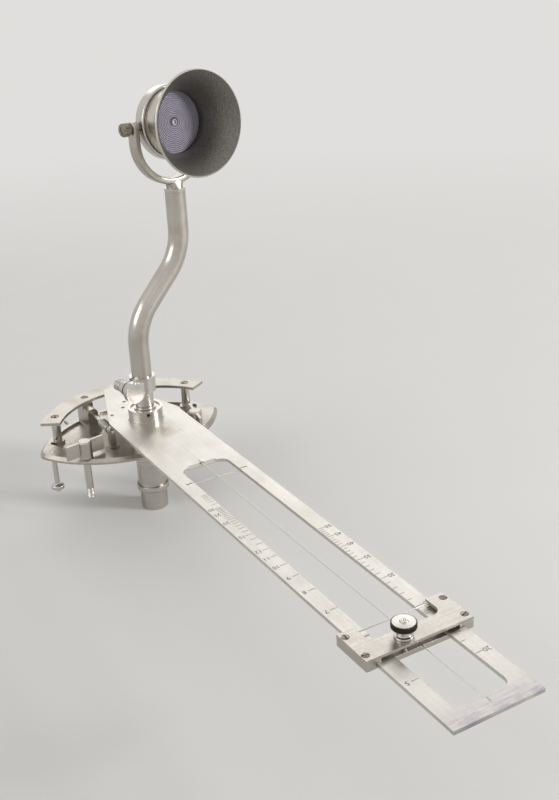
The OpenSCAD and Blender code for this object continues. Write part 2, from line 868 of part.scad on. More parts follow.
// Neck, split barrel and round lug in one piece, turned with the stem
module split_clamp() color("silver") rotate([0, 0, stem_turn]) {
    clamp_low = plate_top + clamp_top - clamp_h;
    clamp_high = plate_top + clamp_top;
    foot_z = plate_top + collar_floor + run_gap;
    ledge = 2.4;
    difference() {
        union() {
            bar(foot_r, foot_z, foot_z + foot_h, round_fn);
            bar(neck_r + ledge / 2, foot_z + foot_h, foot_z + foot_h + ledge / 2, round_fn);
            bar(neck_r, foot_z + foot_h, clamp_low);
            bar(clamp_r, clamp_low, clamp_high, round_fn);
            translate([0, -lug_offset, plate_top + lug_z]) {
                cone_x(lug_tail_r, lug_body_r, -lug_rear, lug_front - lug_disc_t + lap);
                bar_x(lug_r, lug_front - lug_disc_t, lug_front, round_fn);
            }
        }
        bar(tube_r + run_gap, clamp_low + tube_shelf, clamp_high + over, round_fn);
        block([-saw_cut / 2, -lug_offset - lug_r - over, plate_top + lug_z - lug_r - over],
            [saw_cut / 2, -tube_r + over, clamp_high + over]);
        translate([0, -lug_offset, plate_top + lug_z])
            bar_x(screw_shank_r + run_gap, -lug_rear - over, lug_front - lug_skin);
    }
}

tube_shelf = 0.8;

// Ribbed thumb screw that enters the lug from behind
module clamp_thumb_screw() color("silver") rotate([0, 0, stem_turn]) {
    rib = 0.5;
    ribs = 3;
    rib_share = 0.55;
    head_len = 7;
    head_back = -lug_rear - slide_gap - head_len;
    translate([0, -lug_offset, plate_top + lug_z]) {
        bar_x(screw_shank_r, head_back, lug_front - lug_skin - slide_gap);
        bar_x(thumb_r - rib, head_back, -lug_rear - slide_gap);
        for (k = [0:ribs - 1])
            bar_x(thumb_r, head_back + k * head_len / ribs, head_back + (k + rib_share) * head_len / ribs);
    }
}

// Half a millimetre of each straight stretch runs on inside the bend beside it,
// and the bends are a hair thicker, so that no two surfaces coincide
bend_swell = 0.02;
bend_lap = 0.5;

// One bend: starts up the Z axis at the origin and leans over towards +Y
module stem_bend(r) {
    translate([0, bend_r, 0])
        rotate([0, 0, -90])
            rotate([90, 0, 0])
                rotate_extrude(angle = bend_angle, $fn = round_fn)
                    translate([bend_r, 0])
                        circle(r = r + bend_swell, $fn = small_fn);
}

// Cranked stem: straight, bend, slope, bend back, straight, in the plane of the turned Y axis
module stem_path(r, z_start, z_end) {
    slope_y = bend_r * (1 - cos(bend_angle));
    slope_z = plate_top + bend_start + bend_r * sin(bend_angle);
    bar(r, z_start, plate_top + bend_start + bend_lap);
    translate([0, 0, plate_top + bend_start])
        stem_bend(r);
    translate([0, slope_y, slope_z])
        rotate([-bend_angle, 0, 0])
            bar(r, -bend_lap, stem_lengthwise + bend_lap);
    translate([0, stem_offset, plate_top + bend_end])
        rotate([180, 0, 0])
            stem_bend(r);
    translate([0, stem_offset, 0])
        bar(r, plate_top + bend_end - bend_lap, z_end);
}

tube_bottom = clamp_top - clamp_h + tube_shelf + run_gap;

module stem_tube() color("silver") rotate([0, 0, stem_turn]) {
    difference() {
        stem_path(tube_r, plate_top + tube_bottom, plate_top + tube_top);
        stem_path(tube_bore, plate_top + tube_bottom - over, plate_top + tube_top + over);
    }
}

ferrule_h = 2.4;
ferrule_groove = 1;
ferrule_lip = 0.25;

module stem_ferrule() color("silver") rotate([0, 0, stem_turn]) {
    top = plate_top + tube_top;
    translate([0, stem_offset, 0]) {
        tube(tube_r, tube_bore - ferrule_groove, top, top + ferrule_groove, small_fn);
        tube(tube_r + ferrule_lip, tube_bore - ferrule_groove,
            top + ferrule_groove, top + ferrule_h, small_fn);
        tube(tube_bore - run_gap, tube_bore - ferrule_groove, top - ferrule_h, top, small_fn);
    }
}

// Yoke: a U strap with round ears, standing on a socket over the stem
yoke_in = yoke_r - yoke_t;
ear_r = yoke_w / 2;
yoke_neck_r = tube_r - 1.2;
lap = 0.3;

module yoke() color("silver") rotate([0, 0, stem_turn]) {
    shoulder_r = 5;
    neck_low = -trunnion_rise + ferrule_h;
    strap_mid = -yoke_drop - yoke_in - yoke_t / 2;
    flare_y = yoke_neck_r + shoulder_r;
    flare_z = strap_mid - shoulder_r;
    translate([0, stem_offset, trunnion_z])
        difference() {
            union() {
                translate([0, 0, -yoke_drop])
                    rotate([0, 90, 0])
                        intersection() {
                            tube(yoke_r, yoke_in, -yoke_w / 2, yoke_w / 2);
                            block([0, -yoke_r - over, -yoke_w], [yoke_r + over, yoke_r + over, yoke_w]);
                        }
                for (side = [-1, 1]) {
                    block([-yoke_w / 2, min(side * yoke_in, side * yoke_r), -yoke_drop],
                        [yoke_w / 2, max(side * yoke_in, side * yoke_r), 0]);
                    bar_y(ear_r, min(side * yoke_in, side * yoke_r), max(side * yoke_in, side * yoke_r));
                }
                difference() {
                    block([-yoke_w / 2, -flare_y, neck_low], [yoke_w / 2, flare_y, strap_mid + lap]);
                    for (side = [-1, 1])
                        translate([0, side * flare_y, flare_z])
                            bar_x(shoulder_r, -yoke_w, yoke_w, round_fn);
                }
                translate([0, 0, neck_low])
                    cylinder(r1 = yoke_neck_r, r2 = yoke_w / 2, h = strap_mid - neck_low, $fn = small_fn);
            }
            bar_y(trunnion_r + run_gap, -yoke_r - over, yoke_r + over);
        }
}

// Trunnion screws: shank into the ring, neck and slotted head outside the ear
module trunnion_screws() color("silver") rotate([0, 0, stem_turn]) {
    neck = 1.4;
    head = 5;
    chamfer = 0.6;
    slot = 0.9;
    slot_depth = 1.4;
    shoulder = 0.5;
    for (side = [-1, 1])
        translate([0, stem_offset, trunnion_z])
            rotate([-90 * side, 0, 0])
                difference() {
                    union() {
                        bar(trunnion_r, ring_in + slide_gap, yoke_r + neck);
                        bar(trunnion_r + shoulder, yoke_r, yoke_r + neck);
                        bar(trunnion_head_r, yoke_r + neck, yoke_r + neck + head - chamfer);
                        translate([0, 0, yoke_r + neck + head - chamfer])
                            cylinder(r1 = trunnion_head_r, r2 = trunnion_head_r - chamfer, h = chamfer,
                                $fn = small_fn);
                    }
                    block([-trunnion_head_r - over, -slot / 2, yoke_r + neck + head - slot_depth],
                        [trunnion_head_r + over, slot / 2, yoke_r + neck + head + over]);
                }
}

ring_in = disc_r + 1;
ring_back = -3;
ring_front = ring_back + ring_len;
disc_seat = 4.2;
sleeve_in = disc_r - 1.2;

// Places the eyepiece's own axis, which its profiles turn about, along its line of sight
module sight_line() {
    rotate([0, 0, stem_turn])
        translate([0, stem_offset, trunnion_z])
            rotate([0, 90 - eyepiece_tilt, 0])
                children();
}

module eyepiece_ring() color("silver") {
    chamfer = 0.8;
    sight_line()
        difference() {
            rotate_extrude($fn = round_fn)
                polygon([
                    [ring_in, ring_back], [ring_r - chamfer, ring_back], [ring_r, ring_back + chamfer],
                    [ring_r, ring_front - chamfer], [ring_r - chamfer, ring_front], [ring_in, ring_front]
                ]);
            bar_y(trunnion_r + run_gap, -ring_r - over, ring_r + over);
        }
}

// Bell: a sleeve inside the ring, a barrel and a trumpet mouth turned from one profile
throat_end = 9;
flare_power = 1.7;
flare_steps = 14;
bell_in = bell_r - bell_wall;

function flare(t) = [
    disc_r + (bell_in - disc_r) * pow(t, flare_power),
    throat_end + (bell_reach - throat_end) * t
];

// The outside of the wall, square to the inner curve
function flare_out(t) =
    let (
        step = 0.01,
        tangent = unit(flare(min(t + step, 1)) - flare(max(t - step, 0)))
    )
    flare(t) + [tangent[1], -tangent[0]] * bell_wall;

module eyepiece_bell() color("silver") {
    gap = 1.2;
    shoulder = 12.6;
    inside = [for (i = [0:flare_steps]) flare(i / flare_steps)];
    outside = [for (i = [flare_steps:-1:0]) flare_out(i / flare_steps)];
    trumpet = [for (p = outside) if (p[0] > barrel_r && p[1] > shoulder) p];
    sight_line()
        rotate_extrude($fn = round_fn)
            polygon(concat(
                [[sleeve_in, ring_back + gap], [sleeve_in, disc_seat], [disc_r + run_gap, disc_seat],
                    [disc_r + run_gap, throat_end - gap]],
                inside,
                trumpet,
                [[barrel_r, shoulder], [barrel_r, ring_front + gap], [ring_in - run_gap, ring_front + gap],
                    [ring_in - run_gap, ring_back + gap]]
            ));
}

module peep_disc() color("slategray") {
    rise = 0.5;
    hub = 1.6;
    sight_line() {
        tube(disc_r, peep_r, disc_seat, disc_seat + disc_t);
        tube(hub, peep_r, disc_seat + disc_t, disc_seat + disc_t + rise, small_fn);
    }
}

// Slider
wall_gap = slide_gap / 2;
rail_in = plate_w / 2 + wall_gap;
rail_lip = 2.6;
lip_t = 0.8;
rail_low = plate_z - wall_gap - lip_t;
slider_head_r = 2;
slider_shank_r = 1;
slider_head_t = 1;
screw_inset = 3.9;
screw_edge = 2.2;
SLIDER_SCREWS = [for (x = [screw_inset, slider_len - screw_inset], side = [-1, 1])
    [slider_x + x, side * (slider_w / 2 - screw_edge)]];

module slider_top() color("silver") {
    back_x = slider_x - over;
    recess_x = slider_x + recess_depth;
    difference() {
        block([slider_x, -slider_w / 2, slider_under], [slider_front, slider_w / 2, slider_top]);
        block([back_x, -recess_w / 2, slider_under - over],
            [recess_x - recess_corner, recess_w / 2, slider_top + over]);
        block([back_x, -recess_w / 2 + recess_corner, slider_under - over],
            [recess_x, recess_w / 2 - recess_corner, slider_top + over]);
        for (side = [-1, 1])
            translate([recess_x - recess_corner, side * (recess_w / 2 - recess_corner), 0])
                bar(recess_corner, slider_under - over, slider_top + over);
        for (p = SLIDER_SCREWS)
            translate([p[0], p[1], slider_top])
                flush_hole(slider_head_r, slider_shank_r, slider_head_t, slider_t + over);
        translate([knob_x, -knob_offset, 0])
            bar(knob_shank_r + run_gap, slider_under - over, slider_top + over);
        slider_wire_groove();
    }
}

slider_wire_x = slider_x + 2.6;
slider_wire_z = slider_under + wire_d / 2;

module slider_wire_groove() {
    groove = wire_d + 2 * run_gap;
    for (side = [-1, 1])
        mirror([0, side > 0 ? 0 : 1, 0])
            block([slider_wire_x - groove / 2, recess_w / 2 - over, slider_under - over],
                [slider_wire_x + groove / 2, recess_w / 2 + wire_grip + run_gap,
                    slider_under + wire_d + run_gap]);
}

wire_grip = 1.4;

module slider_wire() color("whitesmoke") {
    translate([slider_wire_x, 0, slider_wire_z])
        bar_y(wire_d / 2, -recess_w / 2 - wire_grip, recess_w / 2 + wire_grip, wire_fn);
}

// Side rails: channels that hold the plate's edges
module slider_rails() color("silver") {
    for (side = [-1, 1])
        difference() {
            block([slider_x, min(side * (rail_in - rail_lip), side * slider_w / 2), rail_low],
                [slider_front, max(side * (rail_in - rail_lip), side * slider_w / 2), slider_under]);
            block([slider_x - over, min(side * rail_in, side * (rail_in - 2 * rail_lip)),
                    plate_z - wall_gap],
                [slider_front + over, max(side * rail_in, side * (rail_in - 2 * rail_lip)),
                    plate_top + wall_gap]);
            for (p = SLIDER_SCREWS)
                translate([p[0], p[1], 0])
                    bar(slider_shank_r + run_gap, slider_under - slider_grip - run_gap, slider_under + over);
        }
}

slider_grip = 3;

module slider_screws() color("dimgray") {
    for (k = [0:len(SLIDER_SCREWS) - 1])
        translate([SLIDER_SCREWS[k][0], SLIDER_SCREWS[k][1], slider_top])
            flush_screw(slider_head_r, slider_shank_r, slider_head_t, slider_t + slider_grip, slot_turn * k);
}

// Clamp bar: drawn up under the plate by the knob
bar_w = 8.4;
bar_t = 2.6;
bar_gap = 0.3;
bar_half = 19.5;
knob_shank_r = 1.6;

module clamp_bar() color("silver") {
    difference() {
        block([knob_x - bar_w / 2, -bar_half, plate_z - bar_gap - bar_t],
            [knob_x + bar_w / 2, bar_half, plate_z - bar_gap]);
        translate([knob_x, -knob_offset, 0])
            bar(knob_shank_r + run_gap, plate_z - bar_gap - bar_t - over, plate_z + over);
    }
}

// Knurled knob: head with a band of fine teeth, hub, waist, foot collar and threaded shank
module clamp_knob() color("silver") {
    disc_h = 1.4;
    disc_out = 1.2;
    waist_h = 3.6;
    waist_r = 3.4;
    knurls = 36;
    groove_r = 0.26;
    boss_h = 0.8;
    boss_r = 1.9;
    foot_z = slider_top + rest_gap;
    band_low = foot_z + disc_h + waist_h;
    band_top = band_low + knob_h;
    translate([knob_x, -knob_offset, 0])
        difference() {
            union() {
                bar(knob_shank_r, plate_z - bar_gap - bar_t, foot_z);
                bar(waist_r + disc_out, foot_z, foot_z + disc_h);
                bar(waist_r, foot_z, band_low);
                bar(knob_r, band_low, band_top, round_fn);
                bar(boss_r, band_top, band_top + boss_h);
            }
            for (k = [0:knurls - 1])
                rotate([0, 0, 360 * k / knurls])
                    translate([knob_r, 0, band_low - over])
                        cylinder(r = groove_r, h = knob_h + 2 * over, $fn = 4);
            bar(boss_r / 2, band_top, band_top + boss_h + over);
        }
}

base_casting();
bearing_drum();
foot_cup();
drift_arc();
arc_posts();
arc_screws();
plunger_block();
guide_post();
spring_plunger();
plunger_spring();
rim_pin();
locating_pin();
mounting_studs();
wing_nut_left();
wing_nut_right();
spindle();
spindle_nut();
spindle_washer();
friction_washer();
sight_plate();
plate_screws();
sight_wire();
cross_wire();
stem_collar();
collar_set_screw();
split_clamp();
clamp_thumb_screw();
stem_tube();
stem_ferrule();
yoke();
trunnion_screws();
eyepiece_ring();
eyepiece_bell();
peep_disc();
slider_top();
slider_rails();
slider_screws();
slider_wire();
clamp_bar();
clamp_knob();
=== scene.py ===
import logging
import math
from dataclasses import dataclass
from enum import Enum

import bmesh
import bpy
import numpy as np
from mathutils import Matrix, Vector


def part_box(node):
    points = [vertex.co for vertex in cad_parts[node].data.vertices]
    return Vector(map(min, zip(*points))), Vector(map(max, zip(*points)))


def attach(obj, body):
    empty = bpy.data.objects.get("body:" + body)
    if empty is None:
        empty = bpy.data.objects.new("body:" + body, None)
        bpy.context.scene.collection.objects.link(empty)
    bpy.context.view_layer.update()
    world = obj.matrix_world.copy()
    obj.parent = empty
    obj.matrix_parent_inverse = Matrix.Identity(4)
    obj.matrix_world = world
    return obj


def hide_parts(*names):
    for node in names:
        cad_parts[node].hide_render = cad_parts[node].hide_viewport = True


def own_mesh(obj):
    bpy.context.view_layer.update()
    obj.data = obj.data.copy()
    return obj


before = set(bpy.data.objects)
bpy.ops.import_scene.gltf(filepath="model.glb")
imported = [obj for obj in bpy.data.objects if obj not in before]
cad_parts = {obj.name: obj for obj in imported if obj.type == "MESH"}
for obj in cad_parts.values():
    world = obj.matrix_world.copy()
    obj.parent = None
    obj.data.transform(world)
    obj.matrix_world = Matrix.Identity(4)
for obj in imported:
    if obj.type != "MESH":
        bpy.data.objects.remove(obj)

log = logging.getLogger("drift_meter")
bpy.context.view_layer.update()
MM = 0.001
PLATE_TOP = 65.0
STEM_TURN = math.radians(10.5)
STEM_OFFSET = 38.2
TRUNNION_Z = 249.2
SLOT_TURN = 37.0
EYEPIECE_TILT = math.radians(4.0)


# Colours and nodes

def linear(code: str) -> tuple[float, float, float, float]:
    """Turn an sRGB hex colour into linear RGBA.

    Args:
        code: Six hex digits with a leading hash.

    Returns:
        Linear red, green, blue and an alpha of one.
    """
    parts = [int(code[i:i + 2], 16) / 255 for i in (1, 3, 5)]
    red, green, blue = (c / 12.92 if c <= 0.04045 else ((c + 0.055) / 1.055) ** 2.4 for c in parts)
    return red, green, blue, 1.0


def per_mm(size: float) -> float:
    """Give the texture scale at which one feature measures size millimetres."""
    return 1.0 / (size * MM)


def add_node(tree: bpy.types.NodeTree, kind: str, values: dict | None = None, links: dict | None = None,
             **settings: object) -> bpy.types.Node:
    """Add one shader node with its settings, input values and incoming links.

    Args:
        tree: The node tree that gets the node.
        kind: The node's type name without the ShaderNode prefix.
        values: Input values by socket name or index.
        links: Output sockets to link in, by input socket name or index.
        **settings: Attributes of the node itself.

    Returns:
        The new node.
    """
    made = tree.nodes.new("ShaderNode" + kind)
    for key, value in settings.items():
        setattr(made, key, value)
    for key, value in (values or {}).items():
        made.inputs[key].default_value = value
    for key, socket in (links or {}).items():
        tree.links.new(socket, made.inputs[key])
    return made


class Grain(Enum):
    """How a metal surface was finished: the size of a mark in millimetres along three texture axes."""

    ALONG_X = (40.0, 0.35, 0.35)
    ALONG_Y = (0.35, 40.0, 0.35)
    LATHE = (150.0, 0.5, 30.0)
    DRAWN = (0.7, 40.0, 1.0)
    SATIN = (0.3, 0.3, 0.3)
    CAST = (0.8, 0.8, 0.8)


@dataclass(frozen=True)
class MetalFinish:
    """A worked metal surface: fine marks in one direction, mottling and tarnish.

    Attributes:
        name: The material's name.
        bright: Colour of clean metal.
        dull: Colour between the marks.
        stain: Colour of tarnished patches.
        grain: Direction and size of the marks.
        roughness: Middle of the roughness range.
        spread: Half of the roughness range.
        stain_mm: Size of the tarnished patches.
        stain_share: How strongly tarnish covers the metal, from 0 to 1.
        relief_mm: Height of the marks.
        anisotropy: Stretch of the highlight across the marks of lathe work.
        metallic: Share of bare metal; the rest is a dull oxide.
    """

    name: str
    bright: str
    dull: str
    stain: str
    grain: Grain
    roughness: float
    spread: float = 0.06
    stain_mm: float = 9.0
    stain_share: float = 0.5
    relief_mm: float = 0.004
    anisotropy: float = 0.0
    metallic: float = 1.0

    def marks(self, tree: bpy.types.NodeTree) -> bpy.types.NodeSocket:
        """Draw the marks: noise stretched along the tool's path.

        Args:
            tree: The material's node tree.

        Returns:
            The noise, on UV for lathe and drawn work and on Object coordinates elsewhere.
        """
        coords = add_node(tree, "TexCoord")
        source = coords.outputs["UV" if self.grain in (Grain.LATHE, Grain.DRAWN) else "Object"]
        scale = tuple(per_mm(size) for size in self.grain.value)
        mapping = add_node(tree, "Mapping", {"Scale": scale}, {"Vector": source})
        noise = add_node(tree, "TexNoise", {"Scale": 1.0, "Detail": 2.0, "Roughness": 0.55},
                         {"Vector": mapping.outputs[0]})
        return noise.outputs["Fac"]

    def patches(self, tree: bpy.types.NodeTree, size: float, low: float, high: float) -> bpy.types.NodeSocket:
        """Draw soft-edged patches.

        Args:
            tree: The material's node tree.
            size: Size of a patch in millimetres.
            low: Noise below which the mask is 0.
            high: Noise above which it is 1.

        Returns:
            The mask.
        """
        coords = add_node(tree, "TexCoord")
        noise = add_node(tree, "TexNoise", {"Scale": per_mm(size), "Detail": 2.5, "Roughness": 0.5},
                         {"Vector": coords.outputs["Object"]})
        mask = add_node(tree, "MapRange", {"From Min": low, "From Max": high},
                        {"Value": noise.outputs["Fac"]})
        return mask.outputs["Result"]

    def colour(self, tree: bpy.types.NodeTree, marks: bpy.types.NodeSocket) -> bpy.types.NodeSocket:
        """Mix clean, dull and tarnished metal by the marks and by patches.

        Args:
            tree: The material's node tree.
            marks: The tool's marks.

        Returns:
            The metal's colour.
        """
        base = add_node(tree, "Mix", {6: linear(self.bright), 7: linear(self.dull)}, {0: marks},
                        data_type="RGBA")
        tarnish = self.patches(tree, self.stain_mm, 0.42, 0.75)
        share = add_node(tree, "Math", {1: self.stain_share}, {0: tarnish}, operation="MULTIPLY")
        return add_node(tree, "Mix", {7: linear(self.stain)}, {0: share.outputs[0], 6: base.outputs[2]},
                        data_type="RGBA").outputs[2]

    def material(self) -> bpy.types.Material:
        """Build the material.

        Returns:
            The metal, with its colour, roughness and fine relief.
        """
        made = bpy.data.materials.new(self.name)
        made.use_nodes = True
        tree = made.node_tree
        shader = tree.nodes["Principled BSDF"]
        shader.inputs["Metallic"].default_value = self.metallic
        if self.anisotropy:
            shader.inputs["Anisotropic"].default_value = self.anisotropy
            around = add_node(tree, "Tangent", direction_type="UV_MAP", uv_map="UVMap")
            tree.links.new(around.outputs[0], shader.inputs["Tangent"])
        marks = self.marks(tree)
        tree.links.new(self.colour(tree, marks), shader.inputs["Base Color"])
        mottle = self.patches(tree, 1.4, 0.3, 0.7)
        both = add_node(tree, "Math", {}, {0: marks, 1: mottle}, operation="ADD")
        smooth, coarse = self.roughness - self.spread, self.roughness + self.spread
        rough = add_node(tree, "MapRange",
                         {"From Min": 0.4, "From Max": 1.5, "To Min": smooth, "To Max": coarse},
                         {"Value": both.outputs[0]})
        tree.links.new(rough.outputs["Result"], shader.inputs["Roughness"])
        bump = add_node(tree, "Bump", {"Strength": 0.5, "Distance": self.relief_mm * MM}, {"Height": marks})
        tree.links.new(bump.outputs["Normal"], shader.inputs["Normal"])
        return made


@dataclass(frozen=True)
class PlateFinish(MetalFinish):
    """The sight plate's brushed nickel silver, worn to a streaky violet-grey band at its near end.

    Attributes:
        worn: Colour of the worn band.
        worn_from: Place along the plate at which the band starts, in millimetres.
        worn_to: Place at which it is full.
        smudge: Colour of the brown smudge in front of the collar.
        smudge_x: Its place along the plate.
        smudge_y: Its place across the plate.
        smudge_r: Its radius.
    """

    worn: str = "#a19ba6"
    worn_from: float = 335.0
    worn_to: float = 347.0
    smudge: str = "#8f8475"
    smudge_x: float = 24.0
    smudge_y: float = 0.0
    smudge_r: float = 15.0

    def colour(self, tree: bpy.types.NodeTree, marks: bpy.types.NodeSocket) -> bpy.types.NodeSocket:
        """Add the worn band and the smudge to the plate's own colours.

        Args:
            tree: The material's node tree.
            marks: The brush's marks.

        Returns:
            The plate's colour.
        """
        plain = super().colour(tree, marks)
        coords = add_node(tree, "TexCoord")
        split = add_node(tree, "SeparateXYZ", {}, {0: coords.outputs["Object"]})
        ramp = add_node(tree, "MapRange", {"From Min": self.worn_from * MM, "From Max": self.worn_to * MM},
                        {"Value": split.outputs["X"]})
        across = add_node(tree, "Mapping", {"Scale": (per_mm(1.3), per_mm(9.0), 1.0)},
                          {"Vector": coords.outputs["Object"]})
        noise = add_node(tree, "TexNoise", {"Scale": 1.0, "Detail": 3.0}, {"Vector": across.outputs[0]})
        streaks = add_node(tree, "MapRange", {"From Min": 0.3, "From Max": 0.7},
                           {"Value": noise.outputs["Fac"]})
        mask = add_node(tree, "Math", {}, {0: ramp.outputs["Result"], 1: streaks.outputs["Result"]},
                        operation="MULTIPLY")
        worn = add_node(tree, "Mix", {7: linear(self.worn)}, {0: mask.outputs[0], 6: plain}, data_type="RGBA")
        centre = (self.smudge_x * MM, self.smudge_y * MM, PLATE_TOP * MM)
        away = add_node(tree, "VectorMath", {1: centre}, {0: coords.outputs["Object"]}, operation="DISTANCE")
        edge, full = self.smudge_r * MM, 0.2 * self.smudge_r * MM
        near = add_node(tree, "MapRange", {"From Min": edge, "From Max": full, "To Max": 0.75},
                        {"Value": away.outputs["Value"]})
        cloud = add_node(tree, "Math", {}, {0: near.outputs["Result"], 1: self.patches(tree, 9.0, 0.3, 0.6)},
                         operation="MULTIPLY")
        return add_node(tree, "Mix", {7: linear(self.smudge)}, {0: cloud.outputs[0], 6: worn.outputs[2]},
                        data_type="RGBA").outputs[2]


@dataclass(frozen=True)
class RingedFinish(MetalFinish):
    """A faced disc whose UV carries the radius: painted shade in the grooves, a dark middle and a bright
    raised ring.

    Attributes:
        groove: Colour of the painted shade in the grooves.
        middle: Colour of the dark middle.
        pitch_mm: Distance from groove to groove.
        middle_mm: Radius of the dark middle.
        hub_mm: Radius of the bright ring round the peep hole.
    """

    groove: str = "#6a6573"
    middle: str = "#3f3c46"
    pitch_mm: float = 1.12
    middle_mm: float = 3.1
    hub_mm: float = 1.95

    def colour(self, tree: bpy.types.NodeTree, marks: bpy.types.NodeSocket) -> bpy.types.NodeSocket:
        """Darken the plain colour by a cosine of the radius, which paints shade into the grooves, and by
        zones of it.

        Args:
            tree: The material's node tree.
            marks: The lathe's marks.

        Returns:
            The disc's colour.
        """
        plain = super().colour(tree, marks)
        coords = add_node(tree, "TexCoord")
        split = add_node(tree, "SeparateXYZ", {}, {0: coords.outputs["UV"]})
        radius = split.outputs["Y"]
        turns = 2 * math.pi / (self.pitch_mm * MM)
        phase = add_node(tree, "Math", {1: turns}, {0: radius}, operation="MULTIPLY")
        wave = add_node(tree, "Math", {}, {0: phase.outputs[0]}, operation="COSINE")
        # Painted shade: darkest at each groove's bottom
        deep = add_node(tree, "MapRange", {"From Min": 0.55, "From Max": -1.0, "To Max": 0.85},
                        {"Value": wave.outputs[0]})
        groove_shaded = add_node(tree, "Mix", {7: linear(self.groove)}, {0: deep.outputs["Result"], 6: plain},
                          data_type="RGBA")
        middle = add_node(tree, "MapRange", {"From Min": (self.middle_mm + 0.15) * MM,
                                             "From Max": (self.middle_mm - 0.15) * MM}, {"Value": radius})
        dark = add_node(tree, "Mix", {7: linear(self.middle)},
                        {0: middle.outputs["Result"], 6: groove_shaded.outputs[2]}, data_type="RGBA")
        hub = add_node(tree, "MapRange", {"From Min": (self.hub_mm + 0.05) * MM,
                                          "From Max": (self.hub_mm - 0.05) * MM}, {"Value": radius})
        return add_node(tree, "Mix", {7: linear(self.bright)}, {0: hub.outputs["Result"], 6: dark.outputs[2]},
                        data_type="RGBA").outputs[2]


@dataclass(frozen=True)
class MattFinish:
    """A dull surface that isn't bare metal, such as cut lines filled with dark wax.

    Attributes:
        name: The material's name.
        colour_a: One colour of the mottling.
        colour_b: The other.
        roughness: Roughness of the surface.
        grain_mm: Size of the mottling.
    """

    name: str
    colour_a: str
    colour_b: str
    roughness: float
    grain_mm: float

    def material(self) -> bpy.types.Material:
        """Build the material.

        Returns:
            The dull surface, mottled between its two colours.
        """
        made = bpy.data.materials.new(self.name)
        made.use_nodes = True
        tree = made.node_tree
        shader = tree.nodes["Principled BSDF"]
        shader.inputs["Roughness"].default_value = self.roughness
        coords = add_node(tree, "TexCoord")
        noise = add_node(tree, "TexNoise", {"Scale": per_mm(self.grain_mm), "Detail": 3.0},
                         {"Vector": coords.outputs["Object"]})
        mix = add_node(tree, "Mix", {6: linear(self.colour_a), 7: linear(self.colour_b)},
                       {0: noise.outputs["Fac"]}, data_type="RGBA")
        tree.links.new(mix.outputs[2], shader.inputs["Base Color"])
        return made


def background_rays(tree: bpy.types.NodeTree) -> bpy.types.NodeSocket:
    """Pick out the rays that see the background.

    Args:
        tree: The node tree of the floor's paint or of the world.

    Returns:
        A socket that is 1 for rays from the camera and for those that metal or glass sends on, or else 0.
    """
    path = add_node(tree, "LightPath")
    rays = path.outputs["Is Camera Ray"]
    for kind in ("Is Glossy Ray", "Is Transmission Ray"):
        rays = add_node(tree, "Math", {}, {0: rays, 1: path.outputs[kind]}, operation="MAXIMUM").outputs[0]
    return rays


@dataclass(frozen=True)
class FloorPaint(MattFinish):
    """Pale floor paint that turns, away from the object, to the even tone of the background.

    Attributes:
        far: Tone of the background.
        near_m: Distance from the object at which the change starts.
        far_m: Distance at which it ends.
    """

    far: str = "#e0dfdd"
    near_m: float = 0.42
    far_m: float = 1.3

    def material(self) -> bpy.types.Material:
        """Mix the paint with a plain glow by distance, for what the camera, metal and glass see.

        Returns:
            The paint, which keeps the object's shadow near it.
        """
        made = super().material()
        tree = made.node_tree
        paint, output = tree.nodes["Principled BSDF"], tree.nodes["Material Output"]
        seen = background_rays(tree)
        coords = add_node(tree, "TexCoord")
        away = add_node(tree, "VectorMath", {}, {0: coords.outputs["Object"]}, operation="LENGTH")
        ramp = add_node(tree, "MapRange", {"From Min": self.near_m, "From Max": self.far_m},
                        {"Value": away.outputs["Value"]}, interpolation_type="SMOOTHSTEP")
        share = add_node(tree, "Math", {}, {0: seen, 1: ramp.outputs["Result"]}, operation="MULTIPLY")
        glow = add_node(tree, "Emission", {"Color": linear(self.far), "Strength": 1.0})
        add_node(tree, "MixShader", {}, {0: share.outputs[0], 1: paint.outputs[0], 2: glow.outputs[0]})
        tree.links.new(tree.nodes["Mix Shader"].outputs[0], output.inputs["Surface"])
        return made


# Nickel silver, ground and brushed lengthwise: long pale streaks and a soft stretched highlight
BRUSHED_PLATE = PlateFinish("brushed_nickel_silver_plate", "#d9d6d0", "#bfbbb4", "#aaa398", Grain.ALONG_X,
                            0.4, stain_mm=26.0, stain_share=0.4)
# The same metal brushed across, as on the slider
BRUSHED_SLIDER = MetalFinish("brushed_nickel_silver_slider", "#cbc7c0", "#a9a49b", "#948d82", Grain.ALONG_Y,
                             0.32, stain_mm=18.0, stain_share=0.4)
# Nickel over a sand casting: satin, faintly pitted, warm brown where the plating has worn
PLATED_CASTING = MetalFinish("nickel_plated_casting", "#c6c1b9", "#a5a097", "#877b6d", Grain.CAST, 0.32,
                             stain_mm=16.0, stain_share=0.5, relief_mm=0.001)
# Turned nickel silver: fine rings left by the lathe and a highlight that fans out across them
TURNED_SILVER = MetalFinish("turned_nickel_silver", "#d6d3ce", "#b9b5ae", "#a0978a", Grain.LATHE, 0.25,
                            spread=0.02, stain_mm=14.0, stain_share=0.3, relief_mm=0.0002, anisotropy=0.4)
# The CAD solids of turned and fitted work, polished to an even satin
SATIN_SILVER = MetalFinish("satin_nickel_silver", "#d6d3ce", "#c3bfb9", "#a69e92", Grain.SATIN, 0.27,
                           spread=0.02, stain_mm=12.0, stain_share=0.3, relief_mm=0.0003)
# Drawn and plated tube, handled until the plating turned warm
WORN_TUBE = MetalFinish("worn_plated_tube", "#cdc8c1", "#b3ada4", "#978e82", Grain.DRAWN, 0.22,
                        spread=0.03, stain_mm=14.0, stain_share=0.35, relief_mm=0.001)
# Spun sheet, dulled inside to a mottled pewter grey
SPUN_SHEET = MetalFinish("spun_dull_sheet", "#8f8c86", "#74716b", "#5a5751", Grain.CAST, 0.44,
                         stain_mm=1.3, stain_share=0.6, relief_mm=0.008, metallic=0.8)
